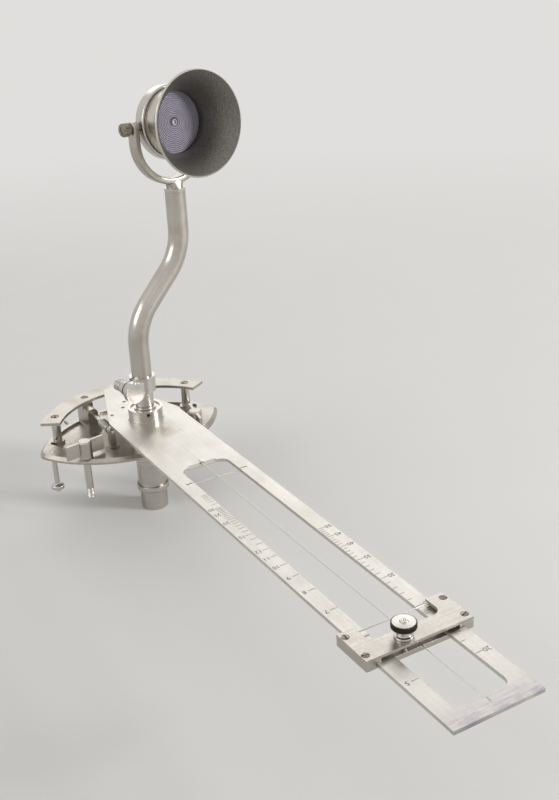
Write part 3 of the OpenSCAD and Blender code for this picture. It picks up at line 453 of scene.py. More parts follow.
# The same sheet outside, burnished to a pale cream
BURNISHED_SHEET = MetalFinish("spun_burnished_sheet", "#ded9d0", "#c3bdb2", "#a89f90", Grain.LATHE, 0.28,
                              spread=0.03, stain_mm=14.0, stain_share=0.35, relief_mm=0.0002)
# Aluminium disc faced in coarse rings, dulled violet grey, with painted shade in its grooves
FACED_DISC = RingedFinish("faced_aluminium_disc", "#aaa5b3", "#8e8998", "#7c7784", Grain.LATHE, 0.5,
                          stain_mm=6.0, stain_share=0.3, relief_mm=0.003, metallic=0.15)
# Slotted steel screws, browned with age
AGED_STEEL = MetalFinish("aged_steel_screw", "#a9a196", "#7d7467", "#574c40", Grain.CAST, 0.28,
                         stain_mm=2.5, stain_share=0.6, relief_mm=0.002)
# Hard-drawn wire: bright and smooth
BRIGHT_WIRE = MetalFinish("bright_drawn_wire", "#d8d6d1", "#c9c6c0", "#b5b1a9", Grain.LATHE, 0.3,
                          spread=0.01, stain_mm=30.0, stain_share=0.1, relief_mm=0.0002)
# Knurled band with old black in its teeth
BLACKED_KNURL = MetalFinish("blacked_knurl", "#55504b", "#35312d", "#211f1d", Grain.CAST, 0.38,
                            stain_mm=1.5, stain_share=0.6, relief_mm=0.01)
# Spring steel, drawn bright and faintly oiled
SPRING_STEEL = MetalFinish("oiled_spring_steel", "#d6d4cf", "#b5b2ab", "#8f8b84", Grain.CAST, 0.24,
                           stain_mm=3.0, stain_share=0.25, relief_mm=0.001)
# Plain rolled brass washer
PLAIN_BRASS = MetalFinish("plain_rolled_brass", "#b59a62", "#96804f", "#6f5c37", Grain.CAST, 0.4,
                          stain_mm=4.0, stain_share=0.5)
# Engraved lines hold dark wax
ENGRAVING = MattFinish("engraver_wax", "#2a2724", "#3a3632", 0.6, 0.5)
# Painted shade: near black, mottled, for the seat round a sunk screw and for the set screw in its hole
PAINTED_SCREW_SHADE = MattFinish("painted_screw_shade", "#1f1c19", "#332d27", 0.7, 0.4)
# Plain pale studio floor
FLOOR_PAINT = FloorPaint("pale_floor_paint", "#e6e5e3", "#e3e2e0", 0.8, 60.0)


class Palette:
    """Makes each finish once, when it is first asked for."""

    def __init__(self) -> None:
        """Start with no materials."""
        self.made: dict[str, bpy.types.Material] = {}

    def of(self, finish: MetalFinish | MattFinish) -> bpy.types.Material:
        """Look a finish up.

        Args:
            finish: One of the finishes above.

        Returns:
            Its material, made once.
        """
        if finish.name not in self.made:
            self.made[finish.name] = finish.material()
        return self.made[finish.name]


PALETTE = Palette()


# Shapes

@dataclass(frozen=True)
class Axis:
    """A turning axis in millimetres: a point on it and its direction."""

    point: tuple[float, float, float]
    along: tuple[float, float, float] = (0.0, 0.0, 1.0)

    def frame(self) -> np.ndarray:
        """Work out the axis's own directions.

        Returns:
            Three rows: radial direction at angle zero, direction at ninety degrees, and along.
        """
        along = np.array(self.along) / np.linalg.norm(self.along)
        guide = np.array((1.0, 0.0, 0.0)) if abs(along[2]) > 0.9 else np.array((0.0, 0.0, 1.0))
        radial = guide - guide @ along * along
        radial /= np.linalg.norm(radial)
        return np.array((radial, np.cross(along, radial), along))

    def place(self, radial: np.ndarray, side: np.ndarray, height: np.ndarray) -> np.ndarray:
        """Turn three arrays of local coordinates into points in the row frame."""
        return np.asarray(self.point) + np.stack((radial, side, height), -1) @ self.frame()


def grid_faces(rows: int, columns: int) -> np.ndarray:
    """Number the quads of a grid of points, row by row.

    Args:
        rows: Number of point rows.
        columns: Number of points in a row.

    Returns:
        One row of four point numbers for each quad.
    """
    corner = (np.arange(rows - 1)[:, None] * columns + np.arange(columns - 1)).ravel()
    return np.stack((corner, corner + 1, corner + columns + 1, corner + columns), 1)


@dataclass
class Surface:
    """Points in millimetres, faces and texture coordinates of one closed surface."""

    points: np.ndarray
    faces: np.ndarray
    uv: np.ndarray

    @classmethod
    def from_grid(cls, grid: np.ndarray, u: np.ndarray, v: np.ndarray) -> "Surface":
        """Make a surface from a grid of points whose seams repeat their points.

        Args:
            grid: Points, rows by columns by three.
            u: First texture coordinate of each point, in metres.
            v: Second texture coordinate of each point, in metres.

        Returns:
            The surface, with faces outwards.
        """
        rows, columns = grid.shape[:2]
        points, faces = grid.reshape(-1, 3), grid_faces(rows, columns)
        a, b, c, d = (points[faces[:, k]] for k in range(4))
        volume = np.einsum("ij,ij->", a, np.cross(b, c) + np.cross(c, d))
        if volume < 0:
            faces = faces[:, ::-1]
        return cls(points, faces, np.stack((np.broadcast_to(u, (rows, columns)).ravel(),
                                            np.broadcast_to(v, (rows, columns)).ravel()), 1))


def joined(*parts: Surface) -> Surface:
    """Put several surfaces into one.

    Args:
        *parts: The surfaces.

    Returns:
        One surface with all their points and faces.
    """
    starts = np.cumsum([0] + [len(p.points) for p in parts[:-1]])
    return Surface(np.concatenate([p.points for p in parts]),
                   np.concatenate([p.faces + s for p, s in zip(parts, starts)]),
                   np.concatenate([p.uv for p in parts]))


def arc_length(points: np.ndarray) -> np.ndarray:
    """Measure along a line of points.

    Args:
        points: The line's points in millimetres.

    Returns:
        The distance of each point from the first, in metres.
    """
    steps = np.linalg.norm(np.diff(points, axis=0), axis=1)
    return np.concatenate(([0.0], np.cumsum(steps))) * MM


def rounded(points: list[tuple[float, float]], radius: float, ring: bool, steps: int = 4) -> np.ndarray:
    """Round the corners of a profile.

    Each corner gives way to a quadratic curve that starts and ends one radius away
    along its two sides, or at 0.45 of a side that is too short for that.

    Args:
        points: Corners as (radius, height).
        radius: Distance from corner to the curve's ends.
        ring: True if the last corner joins the first, as round a washer's section.
        steps: Points in each curve.

    Returns:
        The rounded profile, closed by a repeat of its first point if it is a ring.
    """
    corner = np.array(points, float)
    before, after = np.roll(corner, 1, 0) - corner, np.roll(corner, -1, 0) - corner
    long_before = np.linalg.norm(before, axis=1, keepdims=True)
    long_after = np.linalg.norm(after, axis=1, keepdims=True)
    start = corner + before / long_before * np.minimum(radius, 0.45 * long_before)
    end = corner + after / long_after * np.minimum(radius, 0.45 * long_after)
    t = np.linspace(0.0, 1.0, steps)[None, :, None]
    curve = (1 - t) ** 2 * start[:, None] + 2 * t * (1 - t) * corner[:, None] + t ** 2 * end[:, None]
    if ring:
        flat = curve.reshape(-1, 2)
        return np.concatenate((flat, flat[:1]))
    return np.concatenate((corner[:1], curve[1:-1].reshape(-1, 2), corner[-1:]))


def lathe(axis: Axis, profile: np.ndarray, segments: int = 96, teeth: int = 0, tooth: float = 0.0,
          band: tuple[float, float] = (0.0, 0.0), slant: float = 0.0) -> Surface:
    """Turn a profile round an axis: each point runs round a circle of its radius at its height.

    Where teeth are asked for, the radius inside the band is cut back by tooth times the
    absolute sine of half the tooth angle, in two crossing slants, which makes a diamond knurl.

    Args:
        axis: The turning axis.
        profile: Rows of (radius, height).
        segments: Steps round the circle.
        teeth: Number of teeth round the circle.
        tooth: Depth of a tooth.
        band: Lowest and highest height of the toothed band.
        slant: Turn of the teeth over one millimetre of height, in radians; 0 gives straight teeth.

    Returns:
        The closed surface.
    """
    radius, height = profile[:, 0:1], profile[:, 1:2]
    angle = np.linspace(0.0, 2 * math.pi, segments + 1)[None, :]
    reach = np.broadcast_to(radius, (len(profile), segments + 1)).copy()
    if teeth:
        inside = (height > band[0]) & (height < band[1])
        lean = slant * (height - band[0])
        left = np.abs(np.sin(0.5 * teeth * (angle + lean)))
        right = np.abs(np.sin(0.5 * teeth * (angle - lean)))
        reach -= np.where(inside & (radius > 0.6 * radius.max()), tooth * (1 - np.minimum(left, right)), 0.0)
    spots = axis.place(reach * np.cos(angle), reach * np.sin(angle), np.broadcast_to(height, reach.shape))
    return Surface.from_grid(spots, angle * radius.max() * MM, arc_length(profile)[:, None])


def threaded_bar(axis: Axis, radius: float, pitch: float, depth: float, start: float, end: float) -> Surface:
    """Make a screw thread: the radius falls by depth times a triangle wave of height over pitch less angle.

    Args:
        axis: The screw's axis.
        radius: Outer radius.
        pitch: Height of one turn.
        depth: Depth of the groove.
        start: Height at which the thread starts.
        end: Height at which it ends.

    Returns:
        The closed threaded bar.
    """
    rows = int((end - start) / pitch * 10)
    height = np.linspace(start, end, rows)[:, None]
    angle = np.linspace(0.0, 2 * math.pi, 37)[None, :]
    phase = np.mod(height / pitch - angle / (2 * math.pi), 1.0)
    fade = np.clip(np.minimum(height - start, end - height) / pitch, 0.0, 1.0)
    reach = radius - depth * np.abs(2 * phase - 1) * fade
    reach = np.concatenate((0 * reach[:1], reach, 0 * reach[:1]))
    tall = np.concatenate((height[:1], height, height[-1:])) + 0 * angle
    spots = axis.place(reach * np.cos(angle), reach * np.sin(angle), tall)
    return Surface.from_grid(spots, angle * radius * MM, tall * MM)


def sweep(path: np.ndarray, radii: np.ndarray, guide: tuple[float, float, float], sides: int = 48) -> Surface:
    """Carry a circle along a path, square to it, with one radius for each point.

    A path that runs out and back with two radii makes a pipe with its bore; radii of zero
    at both ends close a rod.

    Args:
        path: Points of the path.
        radii: Radius at each point.
        guide: A direction that is never along the path, from which the circle's own axes follow.
        sides: Steps round the circle.

    Returns:
        The closed surface.
    """
    step = np.gradient(path, axis=0)
    step[np.linalg.norm(step, axis=1) < 1e-9] = step[1]
    step /= np.linalg.norm(step, axis=1, keepdims=True)
    side = np.cross(step, np.asarray(guide))
    side /= np.linalg.norm(side, axis=1, keepdims=True)
    up = np.cross(side, step)
    angle = np.linspace(0.0, 2 * math.pi, sides + 1)
    ring = side[:, None] * np.cos(angle)[None, :, None] + up[:, None] * np.sin(angle)[None, :, None]
    spots = path[:, None] + ring * radii[:, None, None]
    return Surface.from_grid(spots, angle[None, :] * radii.max() * MM, arc_length(path)[:, None])


def slotted_head(axis: Axis, radius: float, rise: float, deep: float, slot: float, cut: float,
                 turn: float) -> Surface:
    """Make a screw's head whose domed top has a straight slot.

    Rows run across the slot and columns along it: the top's height is rise times one less
    the squared distance from the axis, less cut inside the slot; the underside is flat.

    Args:
        axis: The screw's axis, through the head's seat, pointing out.
        radius: Radius of the head.
        rise: Height of the dome at the axis.
        deep: Depth of the underside below the seat.
        slot: Width of the slot.
        cut: Depth of the slot.
        turn: Turn of the slot in degrees.

    Returns:
        The closed head.
    """
    edge = slot / 2
    tiny = 0.01 * slot
    half = np.linspace(edge + tiny, radius, 9)
    across = np.concatenate((-half[::-1], (-edge + tiny, edge - tiny), half))[:, None]
    chord = np.sqrt(np.maximum(radius ** 2 - across ** 2, 0.0))
    out = np.sin(np.linspace(-math.pi / 2, math.pi / 2, 17))[None, :]
    top_x = chord * out
    share = (top_x ** 2 + across ** 2) / radius ** 2
    top_z = rise * (1 - share) - np.where(np.abs(across) < edge, cut, 0.0)
    x = np.concatenate((top_x, top_x[:, ::-1], top_x[:, :1]), 1)
    z = np.concatenate((top_z, np.full_like(top_z, -deep), top_z[:, :1]), 1)
    y = np.broadcast_to(across, x.shape)
    c, s = math.cos(math.radians(turn)), math.sin(math.radians(turn))
    spots = axis.place(c * x - s * y, s * x + c * y, z)
    return Surface.from_grid(spots, x * MM, y * MM)


def blocks(low: np.ndarray, high: np.ndarray) -> Surface:
    """Make one closed box for each pair of corners: each corner picks low or high by one bit.

    Args:
        low: Lowest corner of each box.
        high: Highest corner of each box.

    Returns:
        All the boxes as one surface.
    """
    bits = np.array([[k & 1, k >> 1 & 1, k >> 2 & 1] for k in range(8)])
    points = np.where(bits[None] == 1, high[:, None], low[:, None])
    quads = np.array([(0, 2, 3, 1), (4, 5, 7, 6), (0, 1, 5, 4), (2, 6, 7, 3), (0, 4, 6, 2), (1, 3, 7, 5)])
    faces = (quads[None] + 8 * np.arange(len(low))[:, None, None]).reshape(-1, 4)
    points = points.reshape(-1, 3)
    return Surface(points, faces, points[:, :2] * MM)


def finished(obj: bpy.types.Object, body: str, finish: MetalFinish | MattFinish,
             nodes: tuple[str, ...]) -> bpy.types.Object:
    """Give a piece its finish and its body, and hide the CAD nodes that it stands for.

    Args:
        obj: The piece.
        body: The body that it rides on.
        finish: Its finish.
        nodes: CAD nodes that it stands for, if any.

    Returns:
        The same piece.
    """
    obj.data.materials.clear()
    obj.data.materials.append(PALETTE.of(finish))
    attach(obj, body)
    if nodes:
        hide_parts(*nodes)
    log.info("%s: %d faces on %s", obj.name, len(obj.data.polygons), body)
    return obj


def put(name: str, surface: Surface, body: str, slot: str, finish: MetalFinish | MattFinish,
        *nodes: str, sharp: float = 32.0) -> bpy.types.Object:
    """Put a surface into the scene as one piece.

    Args:
        name: The piece's name.
        surface: Its points, faces and texture coordinates.
        body: The body that it rides on.
        slot: A material slot's name; not used.
        finish: Its finish.
        *nodes: CAD nodes that it stands for.
        sharp: Angle in degrees above which an edge stays crisp.

    Returns:
        The new object.
    """
    mesh = bpy.data.meshes.new(name)
    mesh.from_pydata((surface.points * MM).tolist(), [], surface.faces.tolist())
    layer = mesh.uv_layers.new(name="UVMap")
    layer.data.foreach_set("uv", surface.uv[surface.faces.ravel()].astype(np.float32).ravel())
    work = bmesh.new()
    work.from_mesh(mesh)
    bmesh.ops.remove_doubles(work, verts=work.verts, dist=2e-7)
    work.to_mesh(mesh)
    work.free()
    mesh.polygons.foreach_set("use_smooth", [True] * len(mesh.polygons))
    mesh.set_sharp_from_angle(angle=math.radians(sharp))
    obj = bpy.data.objects.new(name, mesh)
    bpy.context.scene.collection.objects.link(obj)
    return finished(obj, body, finish, nodes)


def eased_copy(node: str, body: str, finish: MetalFinish, ease_mm: float,
               segments: int = 2) -> bpy.types.Object:
    """Copy a CAD node and ease its edges, as a file or a polishing wheel does.

    The copy's loose triangles are merged, flat ones are joined, a Bevel modifier rounds each
    edge that turns by more than thirty degrees, and the flat faces lead the smooth shading.

    Args:
        node: The CAD node.
        body: The body that it rides on.
        finish: Its finish.
        ease_mm: Width of the eased edge.
        segments: Steps across the eased edge.

    Returns:
        The new object, which stands for the node.
    """
    name = node + "_eased"
    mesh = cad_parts[node].data.copy()
    mesh.name = name
    work = bmesh.new()
    work.from_mesh(mesh)
    bmesh.ops.remove_doubles(work, verts=work.verts, dist=2e-6)
    bmesh.ops.dissolve_limit(work, angle_limit=math.radians(0.6), verts=work.verts, edges=work.edges)
    work.to_mesh(mesh)
    work.free()
    mesh.polygons.foreach_set("use_smooth", [True] * len(mesh.polygons))
    mesh.set_sharp_from_angle(angle=math.radians(30))
    obj = bpy.data.objects.new(name, mesh)
    bpy.context.scene.collection.objects.link(obj)
    bevel = obj.modifiers.new("eased_edges", "BEVEL")
    bevel.width = ease_mm * MM
    bevel.segments = segments
    bevel.limit_method = "ANGLE"
    bevel.angle_limit = math.radians(30)
    bevel.use_clamp_overlap = True
    weigh = obj.modifiers.new("flat_faces_lead", "WEIGHTED_NORMAL")
    weigh.mode = "FACE_AREA_WITH_ANGLE"
    weigh.weight = 100
    weigh.keep_sharp = True
    return finished(obj, body, finish, (node,))


def wire(node: str, body: str, along: tuple[float, float, float]) -> None:
    """Draw a smooth straight wire in place of a CAD wire, from end to end of that wire's box.

    Args:
        node: The CAD wire.
        body: The body that it rides on.
        along: The wire's direction.
    """
    low, high = (np.array(corner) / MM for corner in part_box(node))
    way = np.array(along)
    half = abs((high - low) @ way) / 2
    radius = float(np.min(high - low)) / 2
    profile = rounded([(0.0, -half), (radius, -half), (radius, half), (0.0, half)], 0.1, False)
    drawn = lathe(Axis(tuple((low + high) / 2), along), profile, 24)
    put(node + "_drawn", drawn, body, "wire", BRIGHT_WIRE, node)


def dress(node: str, finish: MetalFinish | MattFinish) -> None:
    """Give a CAD node that stays in view its finish.

    Args:
        node: The CAD node.
        finish: Its finish.
    """
    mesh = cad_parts[node].data
    mesh.materials.clear()
    mesh.materials.append(PALETTE.of(finish))
    log.info("%s: CAD node in %s", node, finish.name)


def turned(x: float, y: float, z: float) -> tuple[float, float, float]:
    """Turn a place or a direction from the stem's own axes into the object's.

    Args:
        x: Share along the stem's line of sight.
        y: Share across it.
        z: Height.

    Returns:
        The same place or direction in the object's frame.
    """
    c, s = math.cos(STEM_TURN), math.sin(STEM_TURN)
    return c * x - s * y, s * x + c * y, z


def face_out(obj: bpy.types.Object, axis: Axis, finish: MetalFinish) -> None:
    """Give the faces of a turned piece that look away from its axis a second finish.

    Args:
        obj: The turned piece.
        axis: Its axis.
        finish: The finish of its outside.
    """
    mesh = obj.data
    mesh.materials.append(PALETTE.of(finish))
    spots, looks = (np.zeros(3 * len(mesh.polygons), np.float32) for _ in range(2))
    mesh.polygons.foreach_get("center", spots)
    mesh.polygons.foreach_get("normal", looks)
    along = axis.frame()[2]
    away = spots.reshape(-1, 3) - np.array(axis.point) * MM
    away -= (away @ along)[:, None] * along
    away /= np.linalg.norm(away, axis=1, keepdims=True)
    outside = np.einsum("ij,ij->i", away, looks.reshape(-1, 3)) > -0.3
    mesh.polygons.foreach_set("material_index", outside.astype(np.int32))


# Sub-assemblies

@dataclass
class Foot:
    """The bearing drum, its flange and the lipped cup that it stands on."""

    bore_r: float = 5.03
    drum_r: float = 9.6
    drum_low: float = 14.25
    flange_r: float = 13.0
    flange_low: float = 38.0
    flange_high: float = 42.2
    hub_r: float = 8.0
    hub_high: float = 61.8
    cup_r: float = 8.9
    cup_h: float = 14.4
    cup_inner_r: float = 7.6
    cup_floor: float = 2.0
    cup_seat: float = 14.15
    lip_top: float = 17.4
    lip_wall: float = 1.2
    fit: float = 0.03
    dish_r: float = 7.9
    dish_h: float = 0.35

    def build(self) -> None:
        """Make both turned pieces and finish the hidden ones."""
        axis = Axis((0.0, 0.0, 0.0))
        drum = rounded([(self.bore_r, self.drum_low), (self.drum_r, self.drum_low),
                        (self.drum_r, self.flange_low), (self.flange_r, self.flange_low),
                        (self.flange_r, self.flange_high), (self.hub_r, self.flange_high),
                        (self.hub_r, self.hub_high), (self.bore_r, self.hub_high)], 0.5, True)
        put("drum_turned", lathe(axis, drum, 120), "base", "drum", TURNED_SILVER, "bearing_drum")
        lip_in, lip_out = self.drum_r + self.fit, self.drum_r + self.lip_wall
        cup = rounded([(self.cup_inner_r, self.cup_floor), (self.cup_inner_r, self.cup_seat),
                       (lip_in, self.cup_seat), (lip_in, self.lip_top), (lip_out, self.lip_top),
                       (lip_out, self.cup_h), (self.cup_r, self.cup_h - 1.5), (self.cup_r, 0.0),
                       (self.dish_r, 0.0), (self.dish_r - 0.5, self.dish_h), (0.0, self.dish_h)], 0.45, False)
        cup = np.concatenate((((0.0, self.cup_floor),), cup))
        put("cup_turned", lathe(axis, cup, 120), "base", "drum", TURNED_SILVER, "foot_cup")
        for node in ("spindle", "spindle_nut", "spindle_washer"):
            dress(node, SATIN_SILVER)
        dress("friction_washer", PLAIN_BRASS)


@dataclass
class Base:
    """The plated casting, its rim pin and the two studs with wing nuts and the locating pin."""

    top: float = 45.6
    stud_x: float = -5.2
    studs_y: tuple[float, float] = (-42.0, 37.5)
    stud_r: float = 2.4
    stud_low: float = 17.0
    stud_top: float = 55.6
    shoulder_z: float = 41.9
    neck_r: float = 2.3
    thread_h: float = 7.0
    thread_pitch: float = 0.9
    pin_r: float = 1.65
    pin_head_r: float = 4.3

    def stud(self, y: float) -> Surface:
        """Turn one stud: a plain shank, thinner from the base upwards, and a threaded end.

        Args:
            y: The stud's place across the base.

        Returns:
            The stud.
        """
        axis = Axis((self.stud_x, y, 0.0))
        start = self.stud_low + self.thread_h
        shank = np.array([(0.0, start), (self.stud_r, start), (self.stud_r, self.shoulder_z),
                          (self.neck_r, self.shoulder_z), (self.neck_r, self.stud_top - 0.3),
                          (self.neck_r - 0.3, self.stud_top), (0.0, self.stud_top)])
        thread = threaded_bar(axis, self.stud_r - 0.02, self.thread_pitch, 0.32, self.stud_low, start + 0.4)
        return joined(lathe(axis, shank, 40), thread)

    def build(self) -> None:
        """Ease the casting and nuts, and turn the studs and pins."""
        eased_copy("base_casting", "base", PLATED_CASTING, 0.2)
        eased_copy("wing_nut_left", "left_wing_nut", BRUSHED_SLIDER, 0.25)
        eased_copy("wing_nut_right", "right_wing_nut", BRUSHED_SLIDER, 0.25)
        put("studs_threaded", joined(*map(self.stud, self.studs_y)), "base", "turned", TURNED_SILVER,
            "mounting_studs")
        low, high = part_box("locating_pin")
        centre = (low + high) / 2 / MM
        bottom = low.z / MM
        pin = rounded([(0.0, bottom), (1.5, bottom), (1.6, bottom + 2.0), (self.pin_head_r, bottom + 2.2),
                       (self.pin_head_r, bottom + 4.6), (2.6, bottom + 5.4), (self.pin_r, bottom + 5.6),
                       (self.pin_r, self.top), (0.0, self.top)], 0.5, False)
        put("locating_pin_turned", lathe(Axis((centre.x, centre.y, 0.0)), pin, 48), "base", "turned",
            TURNED_SILVER, "locating_pin")
        dress("rim_pin", AGED_STEEL)


@dataclass
class DriftScale:
    """The drift arc on its posts, with four slotted screws."""

    ring_r: float = 63.5
    low: float = 60.8
    high: float = 62.7
    screw_angles: tuple[float, ...] = (-49.0, -18.0, 18.0, 49.0)
    post_angles: tuple[float, ...] = (-49.0, 18.0, 49.0)

    def spot(self, angle: float, z: float) -> tuple[float, float, float]:
        """Return a point on the screw circle, with the angle from the middle of the arc."""
        turn = math.radians(180.0 - angle)
        return self.ring_r * math.cos(turn), self.ring_r * math.sin(turn), z

    def build(self) -> None:
        """Ease the arc, turn its posts and set its screws."""
        eased_copy("drift_arc", "base", PLATED_CASTING, 0.3)
        post = rounded([(0.0, 45.6), (2.9, 45.6), (2.9, self.low), (0.0, self.low)], 0.15, False)
        put("arc_posts_turned", joined(*(lathe(Axis(self.spot(a, 0.0)), post, 48) for a in self.post_angles)),
            "base", "turned", TURNED_SILVER, "arc_posts")
        heads = [slotted_head(Axis(self.spot(a, self.high)), 2.2, 0.5, 1.0, 0.6, 0.6, SLOT_TURN * k)
                 for k, a in enumerate(self.screw_angles)]
        put("arc_screw_heads", joined(*heads), "base", "screw", AGED_STEEL, "arc_screws")
        # Near-black discs in the screws' seats round the heads: painted shade
        seat = rounded([(0.0, -0.9), (2.6, -0.9), (2.6, -0.12), (0.0, -0.12)], 0.05, False)
        shade_discs = [lathe(Axis(self.spot(a, self.high)), seat, 32) for a in self.screw_angles]
        put("arc_screw_painted_shade", joined(*shade_discs), "base", "screw", PAINTED_SCREW_SHADE)


@dataclass
class Plunger:
    """The sprung rod between its block and its guide post."""

    rod_y: float = -20.5
    rod_z: float = 56.0
    rod_r: float = 1.3
    spring_r: float = 2.7
    wire: float = 0.9
    turns: int = 6

    def spring(self) -> np.ndarray:
        """Wind the spring: a helix along X whose first and last half turns lie closer.

        Returns:
            Points of its centre line.
        """
        low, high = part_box("plunger_spring")
        start, end = low.x / MM + self.wire / 2, high.x / MM - self.wire / 2
        t = np.linspace(0.0, 1.0, 28 * self.turns + 1)
        pitch = t - 0.018 * np.sin(2 * math.pi * t)
        angle = 2 * math.pi * self.turns * t
        return np.stack((start + (end - start) * pitch, self.rod_y + self.spring_r * np.cos(angle),
                         self.rod_z + self.spring_r * np.sin(angle)), 1)

    def build(self) -> None:
        """Make block, post, rod and spring."""
        eased_copy("plunger_block", "base", PLATED_CASTING, 0.25)
        eased_copy("guide_post", "base", PLATED_CASTING, 0.3, 3)
        low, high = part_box("spring_plunger")
        back, front = low.x / MM, high.x / MM
        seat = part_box("plunger_spring")[0].x / MM - 0.3
        rod = rounded([(0.0, back), (self.rod_r, back), (self.rod_r, seat - 1.0), (self.spring_r, seat - 1.0),
                       (self.spring_r, seat), (self.rod_r, seat), (self.rod_r, front), (0.0, front)],
                      0.3, False)
        axis = Axis((0.0, self.rod_y, self.rod_z), (1.0, 0.0, 0.0))
        put("plunger_rod_turned", lathe(axis, rod, 40), "plunger", "turned", TURNED_SILVER, "spring_plunger")
        line = self.spring()
        path = np.concatenate((line[:1], line, line[-1:]))
        radii = np.full(len(path), self.wire / 2)
        radii[[0, -1]] = 0.0
        coil = put("plunger_coil", sweep(path, radii, (1.0, 0.0, 0.0), 12), "base", "spring", SPRING_STEEL,
                   "plunger_spring")
        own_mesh(coil)


@dataclass
class SightDeck:
    """The slotted plate with its wires, engraved scales and screws."""

    cross_x: float = 100.2
    left_scale: float = 1020.4
    left_shift: float = 0.21
    right_scale: float = 4264.0
    long_mark: float = 4.0
    short_mark: float = 2.5
    tick: float = 0.3
    tick_low: float = 0.05
    tick_high: float = 0.02
    numeral: float = 3.9
    inner_edge: float = 15.3
    numeral_y: float = 21.5
    labelled: tuple[int, ...] = (5, 6, 7, 8, 9, 10, 11, 12, 15, 20, 25, 30)
    screws: tuple[tuple[float, float], ...] = ((-15.5, -17.5), (-23.0, -6.6), (-31.4, -2.0))

    def marks(self) -> tuple[list[tuple[float, float, float]], list[tuple[str, float, float]]]:
        """Work out both scales from the cross wire.

        The left arm's marks lie 1020.4 divided by (N less 0.21) from the wire, for N from 5 to 30
        in ones and to 60 in fives; the right arm's lie 4264 divided by N from it, for N from 20 to 50.

        Returns:
            Marks as (x, y at the inner end, y at the outer end), and numerals as (text, x, y).
        """
        left = np.concatenate((np.arange(5, 31), np.arange(35, 65, 5)))
        right = np.arange(20, 51)
        left_x = self.cross_x + self.left_scale / (left - self.left_shift)
        right_x = self.cross_x + self.right_scale / right
        lines = [(x, -self.inner_edge, -self.inner_edge - self.long_mark) for x in left_x]
        reach = [self.short_mark if n % 5 else self.long_mark for n in right]
        lines += [(x, self.inner_edge, self.inner_edge + far) for x, far in zip(right_x, reach)]
        words = [(str(n), x, -self.numeral_y) for n, x in zip(left, left_x) if n in self.labelled]
        words += [(str(n), x, self.numeral_y) for n, x in zip(right, right_x) if n % 5 == 0]
        return lines, words

    def engraved_lines(self, lines: list[tuple[float, float, float]]) -> Surface:
        """Lay one thin bar of wax along each mark.

        Args:
            lines: Marks as (x, y at the inner end, y at the outer end).

        Returns:
            All the bars.
        """
        spots = np.array(lines)
        under, over = (np.full(len(spots), PLATE_TOP + step) for step in (-self.tick_low, self.tick_high))
        low = np.stack((spots[:, 0] - self.tick / 2, spots[:, 1:].min(1), under), 1)
        high = np.stack((spots[:, 0] + self.tick / 2, spots[:, 1:].max(1), over), 1)
        return blocks(low, high)

    def numerals(self, words: list[tuple[str, float, float]]) -> bpy.types.Object:
        """Cut the numerals, each with its top towards the plate's near end.

        Args:
            words: Numerals as (text, x, y).

        Returns:
            The piece that holds them all.
        """
        points, faces, start = [], [], 0
        for text, x, y in words:
            curve = bpy.data.curves.new("numeral", "FONT")
            curve.body, curve.size, curve.extrude = text, self.numeral, 0.035
            curve.align_x, curve.align_y = "CENTER", "CENTER"
            holder = bpy.data.objects.new("numeral", curve)
            bpy.context.scene.collection.objects.link(holder)
            bpy.context.view_layer.update()
            cut = bpy.data.meshes.new_from_object(holder.evaluated_get(bpy.context.evaluated_depsgraph_get()))
            flat = np.zeros(len(cut.vertices) * 3)
            cut.vertices.foreach_get("co", flat)
            flat = flat.reshape(-1, 3)
            points.append(np.stack((x + flat[:, 1], y - flat[:, 0], PLATE_TOP - 0.015 + flat[:, 2]), 1))
            faces.extend([[v + start for v in p.vertices] for p in cut.polygons])
            start += len(flat)
            bpy.data.objects.remove(holder)
            bpy.data.curves.remove(curve)
            bpy.data.meshes.remove(cut)
        mesh = bpy.data.meshes.new("scale_numerals")
        mesh.from_pydata((np.concatenate(points) * MM).tolist(), [], faces)
        work = bmesh.new()
        work.from_mesh(mesh)
        bmesh.ops.remove_doubles(work, verts=work.verts, dist=1e-7)
        work.to_mesh(mesh)
        work.free()
        obj = bpy.data.objects.new("scale_numerals", mesh)
        bpy.context.scene.collection.objects.link(obj)
        return finished(obj, "deck", ENGRAVING, ())

    def build(self) -> None:
        """Ease the plate, cut its scales and stretch its wires."""
        eased_copy("sight_plate", "deck", BRUSHED_PLATE, 0.18)
        lines, words = self.marks()
        put("scale_marks", self.engraved_lines(lines), "deck", "plate", ENGRAVING)
        self.numerals(words)
        heads = [slotted_head(Axis((x, y, PLATE_TOP)), 1.3, 0.5, 0.5, 0.35, 0.3, SLOT_TURN * k)
                 for k, (x, y) in enumerate(self.screws)]
        put("plate_screw_heads", joined(*heads), "deck", "screw", AGED_STEEL, "plate_screws")
        wire("sight_wire", "deck", (1.0, 0.0, 0.0))
        wire("cross_wire", "deck", (0.0, 1.0, 0.0))


